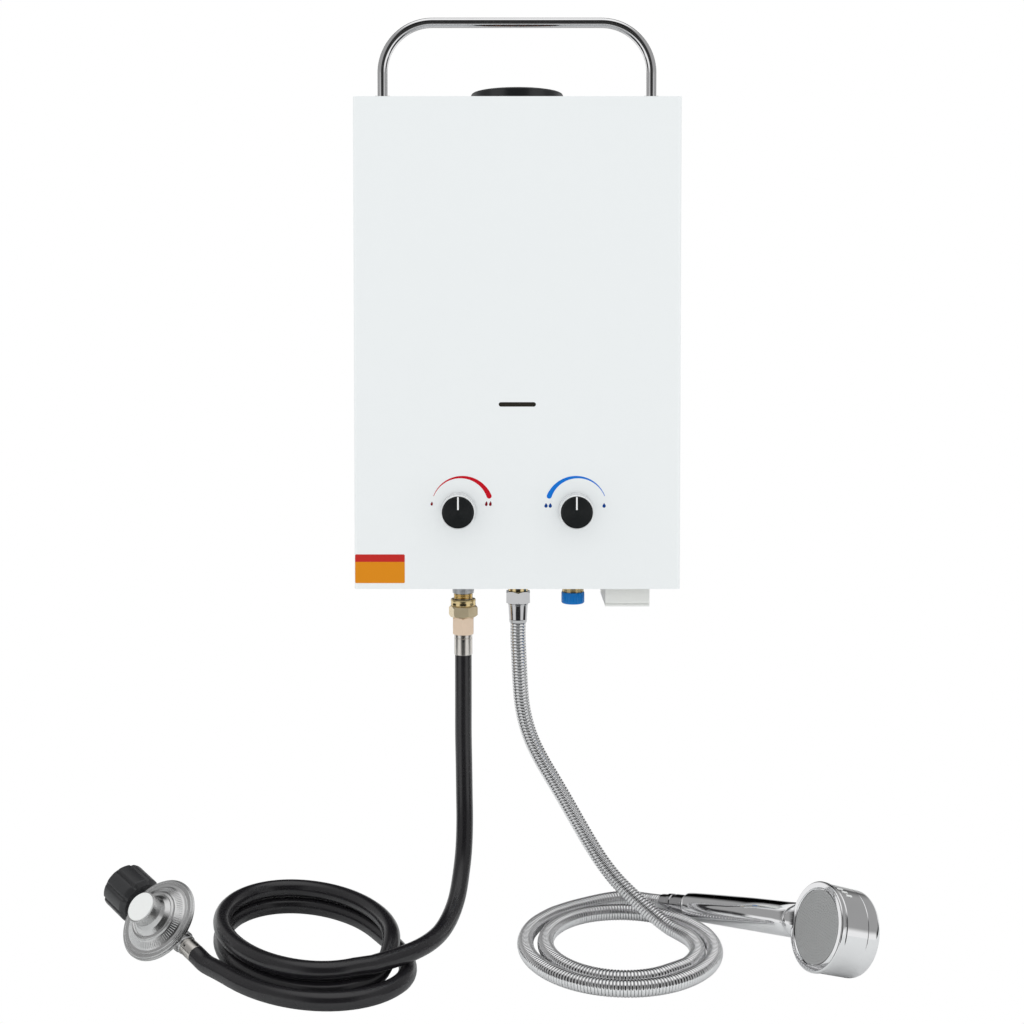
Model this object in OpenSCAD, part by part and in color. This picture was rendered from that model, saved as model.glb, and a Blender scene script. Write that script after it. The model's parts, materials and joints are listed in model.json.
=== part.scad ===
// Portable propane water heater with its gas hose, regulator, shower hose and handset.
// The origin is the centre of the wall hook's hole, on the rear face of the back plate.
// +X is to the right seen from the front, -Y is towards the user, +Z is up.

/* [Casing] */
// Width of the casing, side to side
casing_w = 290; // [282:1:340]
// Height of the casing
casing_h = 436; // [432:1:500]
// Depth of the casing, wall to front panel
casing_d = 125; // [124:1:150]
// Thickness of the sheet steel
sheet = 0.8; // [0.6:0.1:1.6]
// Bend radius of the front cover's upright edges
bend_r = 3; // [2:0.5:6]
// How far the front cover's lips reach back over the top and bottom plates
lip_d = 14; // [8:1:18]
// How far the side flanges of the back plate reach forward
flange_d = 14; // [10:1:20]
// Width of the flame window's slot
window_w = 33; // [20:1:50]
// Height of the flame window's slot
window_h = 4; // [3:0.5:8]
// Height of the flame window above the casing's bottom
window_up = 164.5; // [160:0.5:170]

/* [Wall fixing] */
// Drop from the casing's top to the hook's hole
hook_drop = 24; // [20:1:30]
// Radius of the hook's hole
hook_r = 4; // [3:0.5:5]
// Distance between the two lower fixing holes
fixing_pitch = 200; // [150:5:220]
// Height of the lower fixing holes above the casing's bottom
fixing_up = 24; // [16:1:34]
// Radius of the lower fixing holes
fixing_r = 2.75; // [2:0.25:4]

/* [Flue] */
// Outer radius of the flue collar
flue_r = 42.5; // [40:0.5:46]
// Height of the flue collar above the casing's top
flue_rise = 12.5; // [8:0.5:16]
// Wall of the flue collar
flue_wall = 3.5; // [2:0.5:5]
// Distance from the wall to the flue's axis
flue_back = 58; // [54:1:60]

/* [Handle] */
// Radius of the handle's tube
handle_r = 4.7; // [3.5:0.1:5.5]
// Distance of the handle's legs from the casing's sides
handle_inset = 18.5; // [16:0.5:30]
// Height of the top bar's axis above the casing's top
handle_rise = 83.4; // [80:0.1:100]
// Radius of the handle's bends, on the tube's axis
handle_bend = 47; // [30:1:55]
// Distance from the wall to the handle's pivot
pivot_back = 33; // [26:1:36]
// Height of the handle's pivot above the top plate
pivot_up = 10; // [9:0.5:12]
// Radius of the pivot pins
pivot_r = 2.5; // [2:0.1:3]
// Thickness of the handle brackets
bracket_t = 1.5; // [1:0.1:2]

/* [Knobs] */
// Distance of each knob from the casing's middle
knob_x = 52; // [50:0.5:54]
// Height of the knobs above the casing's bottom
knob_up = 70.7; // [68:0.1:74]
// Radius of a knob's cap
knob_r = 14.3; // [12:0.1:18]
// Length of a knob's cap
knob_len = 20; // [14:1:26]
// Radius of the bright ring round a knob's foot
ring_r = 15.5; // [15:0.1:20]
// Length of the bright ring
ring_len = 3; // [2:0.5:5]
// Gap between a knob and the front panel
knob_gap = 1; // [0.5:0.1:2]
// Width of the knob's pointer
pointer_w = 1.6; // [1:0.1:3]
// Radius of the valve spindles
spindle_r = 4; // [3:0.1:5]

/* [Heat exchanger and burner] */
// Width of the combustion chamber
chamber_w = 190; // [170:1:200]
// Depth of the combustion chamber
chamber_d = 80; // [78:1:84]
// Gap between the valves and the combustion chamber above them
burner_gap = 12.9; // [12:0.1:20]
// Gap between the chamber and the back plate
chamber_back = 28; // [27:0.5:29]
// Height of the exhaust hood under the top plate
hood_h = 56; // [50:1:58]
// Wall of the chamber and the hood
chamber_wall = 0.6; // [0.5:0.1:1.6]
// Number of fins
fin_count = 31; // [15:1:41]
// Thickness of a fin
fin_t = 0.6; // [0.4:0.1:1]
// Height of the fin block
fin_h = 40; // [30:1:44]
// Radius of the copper water tubes
tube_r = 5.5; // [4:0.5:6]
// Distance between neighbouring water tubes
tube_pitch = 15; // [14:0.5:15.5]
// Number of burner blades
blade_count = 10; // [6:1:11]
// Width of a burner blade
blade_w = 8; // [5:0.5:10]
// Height of a burner blade
blade_h = 46; // [40:1:47]
// Radius of the gas manifold's tube
manifold_r = 5; // [4:0.5:5.5]

/* [Valves] */
// Width of the gas valve's body
gas_valve_w = 56; // [50:1:58]
// Width of the water valve's body
water_valve_w = 50; // [46:1:50]
// Depth of both valve bodies
valve_d = 55; // [50:1:58]
// Height of both valve bodies
valve_h = 56; // [50:1:56]
// Radius of the diaphragm's housing
diaphragm_r = 27; // [22:1:28]
// Thickness of the diaphragm's cover
diaphragm_t = 10; // [9:0.5:12]
// Radius of the push rod between the valves
rod_r = 2.5; // [2:0.1:3]
// Radius of the copper water pipes
pipe_r = 6; // [5:0.5:6]
// Wall of the copper water tubes and pipes
pipe_wall = 1; // [0.6:0.1:1.5]

/* [Fittings] */
// Distance from the wall to the row of fittings
port_back = 65; // [60:1:70]
// Place of the gas inlet along the casing
gas_port_x = -50; // [-54:1:-46]
// Place of the hot water outlet along the casing
hot_port_x = 1; // [-4:1:6]
// Place of the cold water inlet along the casing
cold_port_x = 52; // [48:1:56]
// Radius of the gas inlet's threaded neck
gas_neck_r = 8.1; // [7:0.1:9]
// Radius of the gas union's collar
union_r = 11.7; // [11:0.1:13]
// Radius of the gas hose's crimped ferrule
gas_ferrule_r = 8.4; // [8:0.1:9]
// Radius of the hot outlet's thread
hot_neck_r = 8; // [7:0.1:8.5]
// Radius of the shower hose's nut, across its corners
hose_nut_r = 12.6; // [11:0.1:13]
// Radius of the cold inlet's threaded neck
cold_neck_r = 9; // [8:0.1:9.5]
// Outer radius of the blue cap
cap_r = 10.7; // [10.5:0.1:12]

/* [Battery box] */
// Place of the battery box along the casing
battery_x = 100; // [98:1:102]
// Width of the battery box
battery_w = 40; // [38:0.5:42]
// Length of the battery box, front to back
battery_d = 74; // [73:0.5:76]
// How far the battery box stands out below the casing
battery_drop = 20; // [16:1:24]
// Radius of a battery
cell_r = 16.6; // [16:0.1:16.8]
// Length of a battery
cell_len = 60; // [55:1:61]
// Wall of the battery box and its lid
box_wall = 2; // [1:0.1:2]

/* [Gas hose and regulator] */
// Radius of the gas hose
gas_hose_r = 7.75; // [7:0.05:7.75]
// Radius of the regulator's diaphragm housing
regulator_r = 36.5; // [34:0.5:38]
// Height of the regulator's bonnet
bonnet_h = 26; // [24:1:30]
// Radius of the bonnet's cap
bonnet_cap_r = 12.5; // [11:0.5:13]
// Radius of the tank nut
tank_nut_r = 21; // [20:0.5:24]
// Length of the tank nut
tank_nut_len = 35; // [32:1:40]
// Number of grip ribs on the tank nut
tank_rib_count = 12; // [8:1:16]

/* [Shower hose and handset] */
// Radius over the ribs of the shower hose
shower_hose_r = 7.25; // [6.5:0.05:7.25]
// Radius in the grooves between the ribs
groove_r = 6.35; // [6:0.05:6.5]
// Radius of the shower hose's bore
hose_bore_r = 4; // [3:0.1:5]
// Number of ribs on the hanging stretch of the shower hose
drop_rib_count = 60; // [40:1:60]
// Number of ribs on the coiled stretch of the shower hose
coil_rib_count = 140; // [100:1:140]
// Radius of the handle at the hose's cone
grip_r1 = 12; // [11:0.1:13]
// Radius of the handle at the head
grip_r2 = 15; // [14:0.5:16]
// Radius of the shower head
head_r = 37.3; // [36:0.1:40]
// Thickness of the shower head
head_t = 42; // [36:1:46]
// Radius of the spray plate
spray_r = 30.5; // [28:0.5:34]

/* [Clearances] */
// Radial clearance of a turning shaft in its bore
running = 0.05; // [0.02:0.01:0.1]
// Gap between pieces that move past each other
gap = 0.4; // [0.3:0.1:0.6]
// Radial clearance of a tube that passes through sheet metal
pass = 0.3; // [0.2:0.1:0.5]

/* [Hidden] */
$fn = 48;
slice = 0.01;

// Levels and faces of the casing
top_z = hook_drop;
bottom_z = top_z - casing_h;
front_y = -casing_d;
inner_w = casing_w - 2 * sheet;
top_plate_z = top_z - sheet;
floor_plate_z = bottom_z + 2 * sheet;
plate_front = front_y + sheet;
window_z = bottom_z + window_up;
knob_z = bottom_z + knob_up;

// Panel screws: radius of the thread and of the head, and heights above the casing's bottom
screw_r = 1.9;
screw_head_r = 3.6;
screw_head_t = 1.8;
screw_len = 8;
screw_back = 8;
screw_ups = [40, casing_h - 40];

// Air slots of the bottom plate and of the back plate
vent_inset = 21;
vent_pitch = 12;
vent_w = 5;
vent_len = 60;
rear_vent_pitch = 30;
rear_vent_up = 58;
rear_vent_len = 24;

// Handle and its brackets
handle_half = casing_w / 2 - handle_inset;
pivot_y = -pivot_back;
pivot_z = top_plate_z + pivot_up;
bar_z = top_z + handle_rise;
ear_in = handle_r + gap;
ear_r = 6;
pin_head_r = pivot_r + 1.3;
pin_head_t = 1.5;
bracket_half = 9;

// Knob: fillet of its face and depth of the groove for the pointer
knob_round = 1.5;
groove_t = 0.6;
pointer_len = 12.5;

// Heat exchanger
chamber_y = -chamber_back - chamber_d / 2;
chamber_top = top_plate_z - sheet - hood_h;
gas_valve_top = knob_z + valve_h / 2;
chamber_bottom = gas_valve_top + burner_gap;
chamber_front = -chamber_back - chamber_d;
flue_y = -flue_back;
neck_r = flue_r - flue_wall;
hood_lap = 29;
fin_z = chamber_top - fin_h / 2 - 3;
tube_count = 5;
tube_reach = chamber_w / 2 + 9;
ledge_t = 2;
ledge_d = 8;
bracket_w = 12;
bracket_h = 20;
jet_r = 2.2;
jet_hole_r = 4;
manifold_y = chamber_front - manifold_r - 1.5;
manifold_z = chamber_bottom + 16;
blade_z = chamber_bottom + ledge_t;
blade_mouth_r = 3;
blade_pitch = (chamber_w - 2 * chamber_wall - 2) / blade_count;
electrode_half = 60;
electrode_xs = [-electrode_half, electrode_half];
electrode_up = 6;
electrode_z = blade_z + blade_h + electrode_up;
electrode_out = 12;
electrode_in = 10;
electrode_tip = 20;
ceramic_r = 3;
wire_r = 1;
igniter_x = 45;
igniter_w = 50;
igniter_d = 24;
igniter_h = 52;
igniter_drop = 8;

// Valves
valve_back = 40;
valve_y = -valve_back - valve_d / 2;
valve_front = valve_y - valve_d / 2;
gas_valve_bottom = knob_z - valve_h / 2;
water_valve_bottom = gas_valve_bottom - 12;
boss_r = spindle_r + 5;
boss_len = 13;
spindle_depth = 16;
diaphragm_z = knob_z - 4;
diaphragm_x1 = cold_port_x - water_valve_w / 2;
diaphragm_body_t = 14;
diaphragm_x0 = diaphragm_x1 - diaphragm_body_t - diaphragm_t;
cavity_r = diaphragm_r - 5;
cavity_wall = 2;
rod_head_r = 10;
rod_head_t = 2;
rod_bore_depth = 16;
rod_travel = 4;
rod_sink = rod_bore_depth - rod_travel - 2;

// Copper pipes: how far they stand out beside the heat exchanger, and where they turn
cold_pipe_out = 14;
hot_pipe_out = 16;
pipe_turn_up = 40;
hot_pipe_y = -18;
hot_pipe_up = 17.6;

// Heights of the fittings below the casing's bottom
gas_block_drop = 13.2;
gas_neck_drop = 26;
union_top_drop = 18.9;
union_collar_drop = 25.5;
union_drop = 35.4;
gas_fitting_drop = 51.9;
gas_ferrule_drop = 70.9;
gas_stem_r = 6;
hot_brass_drop = 11;
hot_neck_drop = 17;
hose_nut_top_drop = 11.4;
hose_nut_drop = 22.6;
hose_ferrule_drop = 41;
hose_stem_r = 6;
cold_brass_drop = 12;
cold_neck_drop = 19;
cap_drop = 23;
port_y = -port_back;
port_flange_r = 13;
port_flange_t = 3;

// Battery box
battery_front = -100;
battery_y = battery_front + battery_d / 2;
battery_bottom = bottom_z - battery_drop;
lid_top = battery_bottom + box_wall;
case_bottom = lid_top + gap;
cell_bottom = lid_top + gap;
case_top = cell_bottom + cell_len + gap + box_wall;
lid_axis_y = battery_front + battery_d + 3.5;
lid_axis_z = battery_bottom + box_wall / 2;
lid_barrel_r = 2.4;
lid_pin_r = 1;
lid_barrel_len = 24;
lid_ear_t = 4;

// Surface that the hoses, the regulator and the handset lie on
floor_drop = 320;
floor_z = bottom_z - floor_drop;

// Gas hose: it hangs from the ferrule, reaches the floor and winds into two and a half turns
gas_drop_route = [[-50, -65, 249.1], [-50, -65, 232], [-50, -65, 205], [-50, -65.5, 175],
    [-49.5, -67, 148], [-49, -71, 120], [-48.5, -78, 96], [-49, -89, 74], [-51, -103, 56],
    [-54, -120, 41], [-59, -138, 31], [-66, -159, 25.5], [-75, -179, 24], [-87.5, -198, 24],
    [-103, -213, 24]];
gas_coil_x = -187;
gas_coil_y = -146;
gas_coil_a = 78;
gas_coil_b = 93;
gas_coil_skew = 20;
gas_coil_start = 312;
gas_coil_end = -485;
gas_layer = 2 * gas_hose_r + 0.75;
gas_spread = 20;
gas_loop_rings = 24;
gas_tail_route = [[-255, -198.6, 7.8]];

// Shower hose: it hangs from the outlet, reaches the floor and lies in two flat turns
shower_drop_route = [[1, -65, 279], [1, -65, 264], [2, -65, 242], [3, -65, 222], [4.5, -65, 204],
    [8, -65.5, 186], [14, -66, 168], [23, -67, 150], [34, -68, 131.5], [45, -69.5, 113],
    [55.5, -71.5, 95], [66, -74.5, 77.5], [77, -79, 61], [89, -84.5, 46.5], [102, -91, 34.5],
    [115, -97.5, 24.5], [127, -104, 16], [137.5, -111.4, 10.3], [147, -120.3, 7.9],
    [154, -131.3, 7.3], [157.2, -143.7, 7.25], [157.8, -156.8, 7.25], [155.4, -169.5, 7.25],
    [150.5, -181, 7.25]];
shower_coil_x = 91;
shower_coil_y = -143;
shower_coil_a = 66;
shower_coil_b = 73;
shower_spread = 18;
shower_coil_start = -50;
shower_coil_end = -585;
shower_tail_route = [[42, -68.8, 7.25], [52.2, -60.6, 7.25], [62.9, -53.5, 7.25], [73.6, -47, 7.25],
    [83.5, -41.6, 7.25], [93.5, -37.6, 7.3], [104, -36, 7.3], [114.6, -37.7, 7.3]];

// Handset: where the hose ends in its cone, and where the head's face is
cone_p = [137.8, -55.8, floor_z + 10.8];
head_p = [253.1, -195.2, floor_z + 43.6];
head_n = [-0.896, -0.327, 0.3];
head_sink = 18;
cone_len = 30;
grip_aim = head_p - head_sink * head_n / norm(head_n) + [0, 0, 5];
grip_dir = (grip_aim - cone_p) / norm(grip_aim - cone_p);
grip_len = norm(grip_aim - cone_p);
stub_r = 6.5;
stub_len = 14;
shell = 2.4;
spray_recess = 3;
spray_t = 2;

// Regulator: centre of its joint face, tilt of its bonnet and turn of its flow axis
regulator_p = [-317.8, -143.4, floor_z + 29.3];
regulator_tilt = 48.3;
regulator_azimuth = 235.9;
regulator_turn = 72.6;
flow_drop = 9;
flange_t = 2.5;
outlet_x = 39;
regulator_ferrule_len = 15;
nut_x = -37.5;
nut_wall = 5.5;
nipple_r = 7;
inlet_stem_r = 8;

function unit(v) = v / norm(v);

// Catmull-Rom curve through the points p, with n steps between neighbours
function ends(p) = concat([2 * p[0] - p[1]], p, [2 * p[len(p) - 1] - p[len(p) - 2]]);
function blend4(a, b, c, d, t) = 0.5 * ((2 * b) + (c - a) * t + (2 * a - 5 * b + 4 * c - d) * t * t
    + (3 * b - a - 3 * c + d) * t * t * t);
function smooth(p, n) = let (q = ends(p)) concat(
    [for (i = [0 : len(p) - 2], k = [0 : n - 1]) blend4(q[i], q[i + 1], q[i + 2], q[i + 3], k / n)],
    [p[len(p) - 1]]);

// Distance along the line p at each of its points
function run(p) = [for (i = 0, s = 0; i < len(p);
    s = s + (i + 1 < len(p) ? norm(p[i + 1] - p[i]) : 0), i = i + 1) s];

// n + 1 points at equal steps along the line p
function even(p, n) = let (s = run(p), total = s[len(s) - 1],
    tx = [for (i = [0 : len(p) - 1]) [s[i], p[i][0]]],
    ty = [for (i = [0 : len(p) - 1]) [s[i], p[i][1]]],
    tz = [for (i = [0 : len(p) - 1]) [s[i], p[i][2]]])
    [for (k = [0 : n]) let (d = total * k / n) [lookup(d, tx), lookup(d, ty), lookup(d, tz)]];

// Least distance between points of p that are more than skip steps apart
function self_gap(p, skip) = min([for (i = [0 : len(p) - 1 - skip], j = [i + skip : len(p) - 1])
    norm(p[i] - p[j])]);

// Least distance between two lines that meet end to start, the last and first skip steps left out
function pair_gap(p, q, skip) = min([for (i = [0 : len(p) - 1 - skip], b = q) norm(p[i] - b)]);
function rise(q) = [for (p = q) [p[0], p[1], p[2] + floor_z]];
function heading(p, i) = unit(p[min(i + 1, len(p) - 1)] - p[max(i - 1, 0)]);
// Ring of points round c, square to the direction t, with ref never along t
function ring(c, t, r, sides, ref) = let (u = unit(cross(t, ref)), v = cross(u, t))
    [for (j = [0 : sides - 1]) c + r * (cos(360 * j / sides) * u + sin(360 * j / sides) * v)];
function flat(q) = [for (a = q, b = a) b];
function band(a, b, sides) = flat([for (j = [0 : sides - 1]) let (k = (j + 1) % sides)
    [[a + j, b + k, b + j], [a + j, a + k, b + k]]]);
function fan(a, sides, turned) = [for (j = [1 : sides - 2])
    turned ? [a, a + j + 1, a + j] : [a, a + j, a + j + 1]];

// Solid tube along the points p, r thick, cut off square to the direction last
module tube(p, r, sides, ref, last) {
    n = len(p);
    rings = flat([for (i = [0 : n - 1])
        ring(p[i], i == n - 1 ? last : heading(p, i), r, sides, ref)]);
    polyhedron(rings, concat(
        fan(0, sides, true),
        flat([for (i = [0 : n - 2]) band(i * sides, (i + 1) * sides, sides)]),
        fan((n - 1) * sides, sides, false)), 10);
}

// Ribbed tube with a bore, cut off square to the direction last: crests and grooves take turns at
// equal steps along the line p
module ribbed_tube(p, ribs, sides, bore_step, ref, last) {
    line = even(p, 2 * ribs);
    n = len(line);
    turned = [for (i = [0 : n - 1]) i == n - 1 ? last : heading(line, i)];
    bore_i = [for (i = [0 : bore_step : n - 1]) i];
    m = len(bore_i);
    outer = flat([for (i = [0 : n - 1])
        ring(line[i], turned[i], i % 2 == 0 ? groove_r : shower_hose_r, sides, ref)]);
    inner = flat([for (i = bore_i) ring(line[i], turned[i], hose_bore_r, sides, ref)]);
    bore_0 = n * sides;
    bore_1 = bore_0 + (m - 1) * sides;
    polyhedron(concat(outer, inner), concat(
        flat([for (i = [0 : n - 2]) band(i * sides, (i + 1) * sides, sides)]),
        flat([for (i = [0 : m - 2]) band(bore_0 + (i + 1) * sides, bore_0 + i * sides, sides)]),
        band(bore_0, 0, sides),
        band((n - 1) * sides, bore_1, sides)), 10);
}

// Centre line of the gas hose's coil: top turn, climb down at the right, then the floor turns
function gas_layer_at(a) = a > 12 ? 1 : a < -38 ? 0 : (1 - cos(180 * (a + 38) / 50)) / 2;
function gas_spread_at(a) = a > -320 ? 0 : a < -385 ? 1 : (1 + cos(180 * (a + 385) / 65)) / 2;
function gas_coil_at(a) = let (g = gas_spread * gas_spread_at(a))
    [gas_coil_x + (gas_coil_a + g) * cos(a), gas_coil_y + (gas_coil_b + g) * sin(a - gas_coil_skew),
     gas_hose_r + 0.05 + gas_layer * gas_layer_at(a)];
gas_coil_steps = round((gas_coil_start - gas_coil_end) * gas_loop_rings / 360);
gas_coil_line = rise([for (i = [0 : gas_coil_steps])
    gas_coil_at(gas_coil_start + (gas_coil_end - gas_coil_start) * i / gas_coil_steps)]);

// Centre line of the shower hose's coil: an inner turn, then an outer turn round it
function shower_spread_at(a) = a > -255 ? 0 : a < -390 ? 1 : (1 + cos(180 * (a + 390) / 135)) / 2;
function shower_coil_at(a) = let (g = shower_spread * shower_spread_at(a))
    [shower_coil_x + (shower_coil_a + g) * cos(a), shower_coil_y + (shower_coil_b + g) * sin(a),
     shower_hose_r];
shower_coil_steps = 60;
shower_coil_line = rise([for (i = [0 : shower_coil_steps])
    shower_coil_at(shower_coil_start
        + (shower_coil_end - shower_coil_start) * i / shower_coil_steps)]);

// Direction of the regulator's flow axis, and where its ferrule meets the hose
flow_dir = let (c = cos(regulator_turn), s = sin(regulator_turn), t = regulator_tilt,
    a = regulator_azimuth, x = cos(t) * c) [cos(a) * x - sin(a) * s, sin(a) * x + cos(a) * s,
    -sin(t) * c];
bonnet_dir = [sin(regulator_tilt) * cos(regulator_azimuth),
    sin(regulator_tilt) * sin(regulator_azimuth), cos(regulator_tilt)];
ferrule_tip = regulator_p - flow_drop * bonnet_dir + (outlet_x + regulator_ferrule_len) * flow_dir;

// Whole centre lines; each hose is cut in two where its hanging stretch meets its coil
function length_of(p) = let (s = run(p)) s[len(s) - 1];
gas_join = gas_coil_line[0] - 2 * gas_hose_r * heading(gas_coil_line, 0);
gas_drop_line = smooth(concat(rise(gas_drop_route), [gas_join]), 2);
gas_floor_line = concat([gas_join], gas_coil_line, rise(gas_tail_route),
    [ferrule_tip + 2 * gas_hose_r * flow_dir, ferrule_tip]);
shower_join = shower_coil_line[0] - 2 * shower_hose_r * heading(shower_coil_line, 0);
shower_drop_line = smooth(concat(rise(shower_drop_route), [shower_join]), 4);
shower_floor_line = smooth(concat([shower_join],
    [for (i = [0 : 2 : shower_coil_steps]) shower_coil_line[i]],
    rise(shower_tail_route), [cone_p - 2 * shower_hose_r * grip_dir, cone_p]), 4);

echo("flow direction and ferrule tip", flow_dir, ferrule_tip);
echo("gas joint", gas_join, "shower joint", shower_join);
echo("least gap of the gas coil to itself, mm",
    self_gap(even(gas_floor_line, 240), 8) - 2 * gas_hose_r);
echo("least gap of the shower coil to itself, mm",
    self_gap(even(shower_floor_line, 2 * coil_rib_count), 16) - 2 * shower_hose_r);
echo("least gap of the hanging gas hose to the coil, mm",
    pair_gap(even(gas_drop_line, 60), even(gas_floor_line, 240), 10) - 2 * gas_hose_r);
echo("least gap of the hanging shower hose to the coil, mm",
    pair_gap(even(shower_drop_line, 120), even(shower_floor_line, 280), 12) - 2 * shower_hose_r);
echo("gas hose length, mm", length_of(gas_drop_line) + length_of(gas_floor_line));
echo("shower hose length, mm", length_of(shower_drop_line) + length_of(shower_floor_line));

// Frames for slanted pieces: local +Z along the direction d from the point p
module aim(p, d) {
    translate(p) rotate([0, acos(d[2] / norm(d)), atan2(d[1], d[0])]) children();
}
module at_grip() {
    aim(cone_p, grip_dir) children();
}
module at_head() {
    aim(head_p, head_n) children();
}
module at_regulator() {
    translate(regulator_p) rotate([0, regulator_tilt, regulator_azimuth])
        rotate([0, 0, regulator_turn]) children();
}
// Along the regulator's flow axis: local +Z runs from the tank nut's foot to its mouth
module at_nut() {
    at_regulator() translate([nut_x, 0, -flow_drop]) rotate([0, -90, 0]) children();
}
// Local +Z runs out of the front panel, from the foot of the knob at x
module at_knob(x) {
    translate([x, front_y - knob_gap, knob_z]) rotate([90, 0, 0]) children();
}
module at_port(x) {
    translate([x, port_y, bottom_z]) children();
}

module box(lo, hi) {
    translate(lo) cube(hi - lo);
}
module rod_x(x0, x1, y, z, r) {
    translate([x0, y, z]) rotate([0, 90, 0]) cylinder(r = r, h = x1 - x0);
}
module rod_y(x, y0, y1, z, r) {
    translate([x, y0, z]) rotate([-90, 0, 0]) cylinder(r = r, h = y1 - y0);
}
// Round bar through the points p, with a ball at each corner
module pipe(p, r) {
    for (i = [0 : len(p) - 2])
        aim(p[i], p[i + 1] - p[i]) cylinder(r = r, h = norm(p[i + 1] - p[i]));
    for (i = [1 : len(p) - 2])
        translate(p[i]) sphere(r = r);
}
// Water pipe along the points p, open at both ends
module water_pipe(p) {
    n = len(p) - 1;
    difference() {
        pipe(p, pipe_r);
        pipe(concat([p[0] + unit(p[0] - p[1])], [for (i = [1 : n - 1]) p[i]],
            [p[n] + unit(p[n] - p[n - 1])]), pipe_r - pipe_wall);
    }
}
// Tray outline: straight at the wall, round at its two front corners
module tray(w, d, r, back) {
    translate([-w / 2, r - d]) square([w, d - r + back]);
    translate([r - w / 2, -d]) square([w - 2 * r, d]);
    for (side = [-1, 1])
        translate([side * (w / 2 - r), r - d]) circle(r);
}
module slot(w, h) {
    square([w - h, h], center = true);
    for (side = [-1, 1])
        translate([side * (w - h) / 2, 0]) circle(h / 2);
}
module at_screws() {
    for (side = [-1, 1], up = screw_ups)
        translate([side * casing_w / 2, -screw_back, bottom_z + up]) rotate([0, side * 90, 0])
            children();
}
module plate() {
    linear_extrude(sheet)
        tray(inner_w - 2 * pass, casing_d - sheet - pass, bend_r - sheet + pass, 0);
}

module back_plate() {
    color("gainsboro") difference() {
        union() {
            box([-inner_w / 2 + pass, -sheet, floor_plate_z], [inner_w / 2 - pass, 0, top_plate_z]);
            for (side = [-1, 1])
                translate([side * (inner_w / 2 - pass - sheet / 2), -flange_d / 2,
                    (floor_plate_z + top_plate_z) / 2])
                    cube([sheet, flange_d, top_plate_z - floor_plate_z], center = true);
            translate([0, 0, top_plate_z - sheet]) plate();
        }
        rod_y(0, -sheet - 1, 1, 0, hook_r);
        for (side = [-1, 1])
            rod_y(side * fixing_pitch / 2, -sheet - 1, 1, bottom_z + fixing_up, fixing_r);
        translate([0, flue_y, top_plate_z - sheet - 1]) cylinder(r = neck_r, h = sheet + 2);
        at_screws() translate([0, 0, -screw_len]) cylinder(r = screw_r, h = screw_len);
        for (i = [-3 : 3])
            translate([i * rear_vent_pitch, 1, bottom_z + rear_vent_up]) rotate([90, 0, 0])
                linear_extrude(sheet + 2) rotate(90) slot(rear_vent_len, vent_w);
    }
}

module bottom_plate() {
    color("gainsboro") translate([0, 0, bottom_z + sheet]) difference() {
        plate();
        translate([gas_port_x, port_y, -1]) cylinder(r = union_r - 2.5, h = sheet + 2);
        translate([hot_port_x, port_y, -1]) cylinder(r = hot_neck_r + 1 + pass, h = sheet + 2);
        translate([cold_port_x, port_y, -1]) cylinder(r = cold_neck_r + 0.8 + pass, h = sheet + 2);
        translate([battery_x, battery_y, 0])
            cube([battery_w + 2 * pass, battery_d + 2 * pass, 4 * sheet], center = true);
        for (x = [vent_inset - casing_w / 2 : vent_pitch : gas_port_x - 2 * vent_pitch])
            translate([x, port_y, -1]) linear_extrude(sheet + 2) rotate(90) slot(vent_len, vent_w);
    }
}

module front_cover() {
    color("white") difference() {
        translate([0, 0, bottom_z]) linear_extrude(casing_h)
            tray(casing_w, casing_d, bend_r, 0);
        translate([0, 0, bottom_z + sheet]) linear_extrude(casing_h - 2 * sheet)
            tray(inner_w, casing_d - sheet, bend_r - sheet, 1);
        box([-inner_w / 2, front_y + lip_d, bottom_z - 1], [inner_w / 2, 1, top_z + 1]);
        for (side = [-1, 1])
            rod_y(side * knob_x, front_y - 1, front_y + sheet + 1, knob_z, boss_r);
        translate([0, front_y + sheet + 1, window_z]) rotate([90, 0, 0])
            linear_extrude(sheet + 2) slot(window_w, window_h);
        at_screws() translate([0, 0, -sheet - 1]) cylinder(r = screw_r + pass, h = sheet + 2);
    }
}

module panel_screws() {
    color("silver") at_screws() {
        cylinder(r = screw_head_r, h = screw_head_t);
        translate([0, 0, -screw_len]) cylinder(r = screw_r, h = screw_len);
    }
}

module window_mica() {
    color([0.75, 0.6, 0.35, 0.6]) translate([0, plate_front + 0.4, window_z])
        cube([window_w + 10, 0.8, window_h + 10], center = true);
}

module flue_collar() {
    h = flue_rise + sheet;
    round_r = 2;
    color([0.08, 0.08, 0.09]) translate([0, flue_y, top_plate_z]) rotate_extrude() {
        translate([neck_r, 0]) square([flue_wall, h - round_r]);
        translate([neck_r, 0]) square([flue_wall - round_r, h]);
        translate([flue_r - round_r, h - round_r]) circle(round_r);
    }
}

module flue_guard() {
    guard_t = 1.6;
    bar_w = 2.4;
    color([0.1, 0.1, 0.11]) translate([0, flue_y, top_plate_z]) {
        for (r = [neck_r, neck_r * 0.68, neck_r * 0.36])
            difference() {
                cylinder(r = r, h = guard_t);
                translate([0, 0, -1]) cylinder(r = r - bar_w, h = guard_t + 2);
            }
        for (a = [0 : 45 : 135])
            rotate(a) translate([0, 0, guard_t / 2])
                cube([2 * neck_r - bar_w, bar_w, guard_t], center = true);
    }
}

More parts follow.
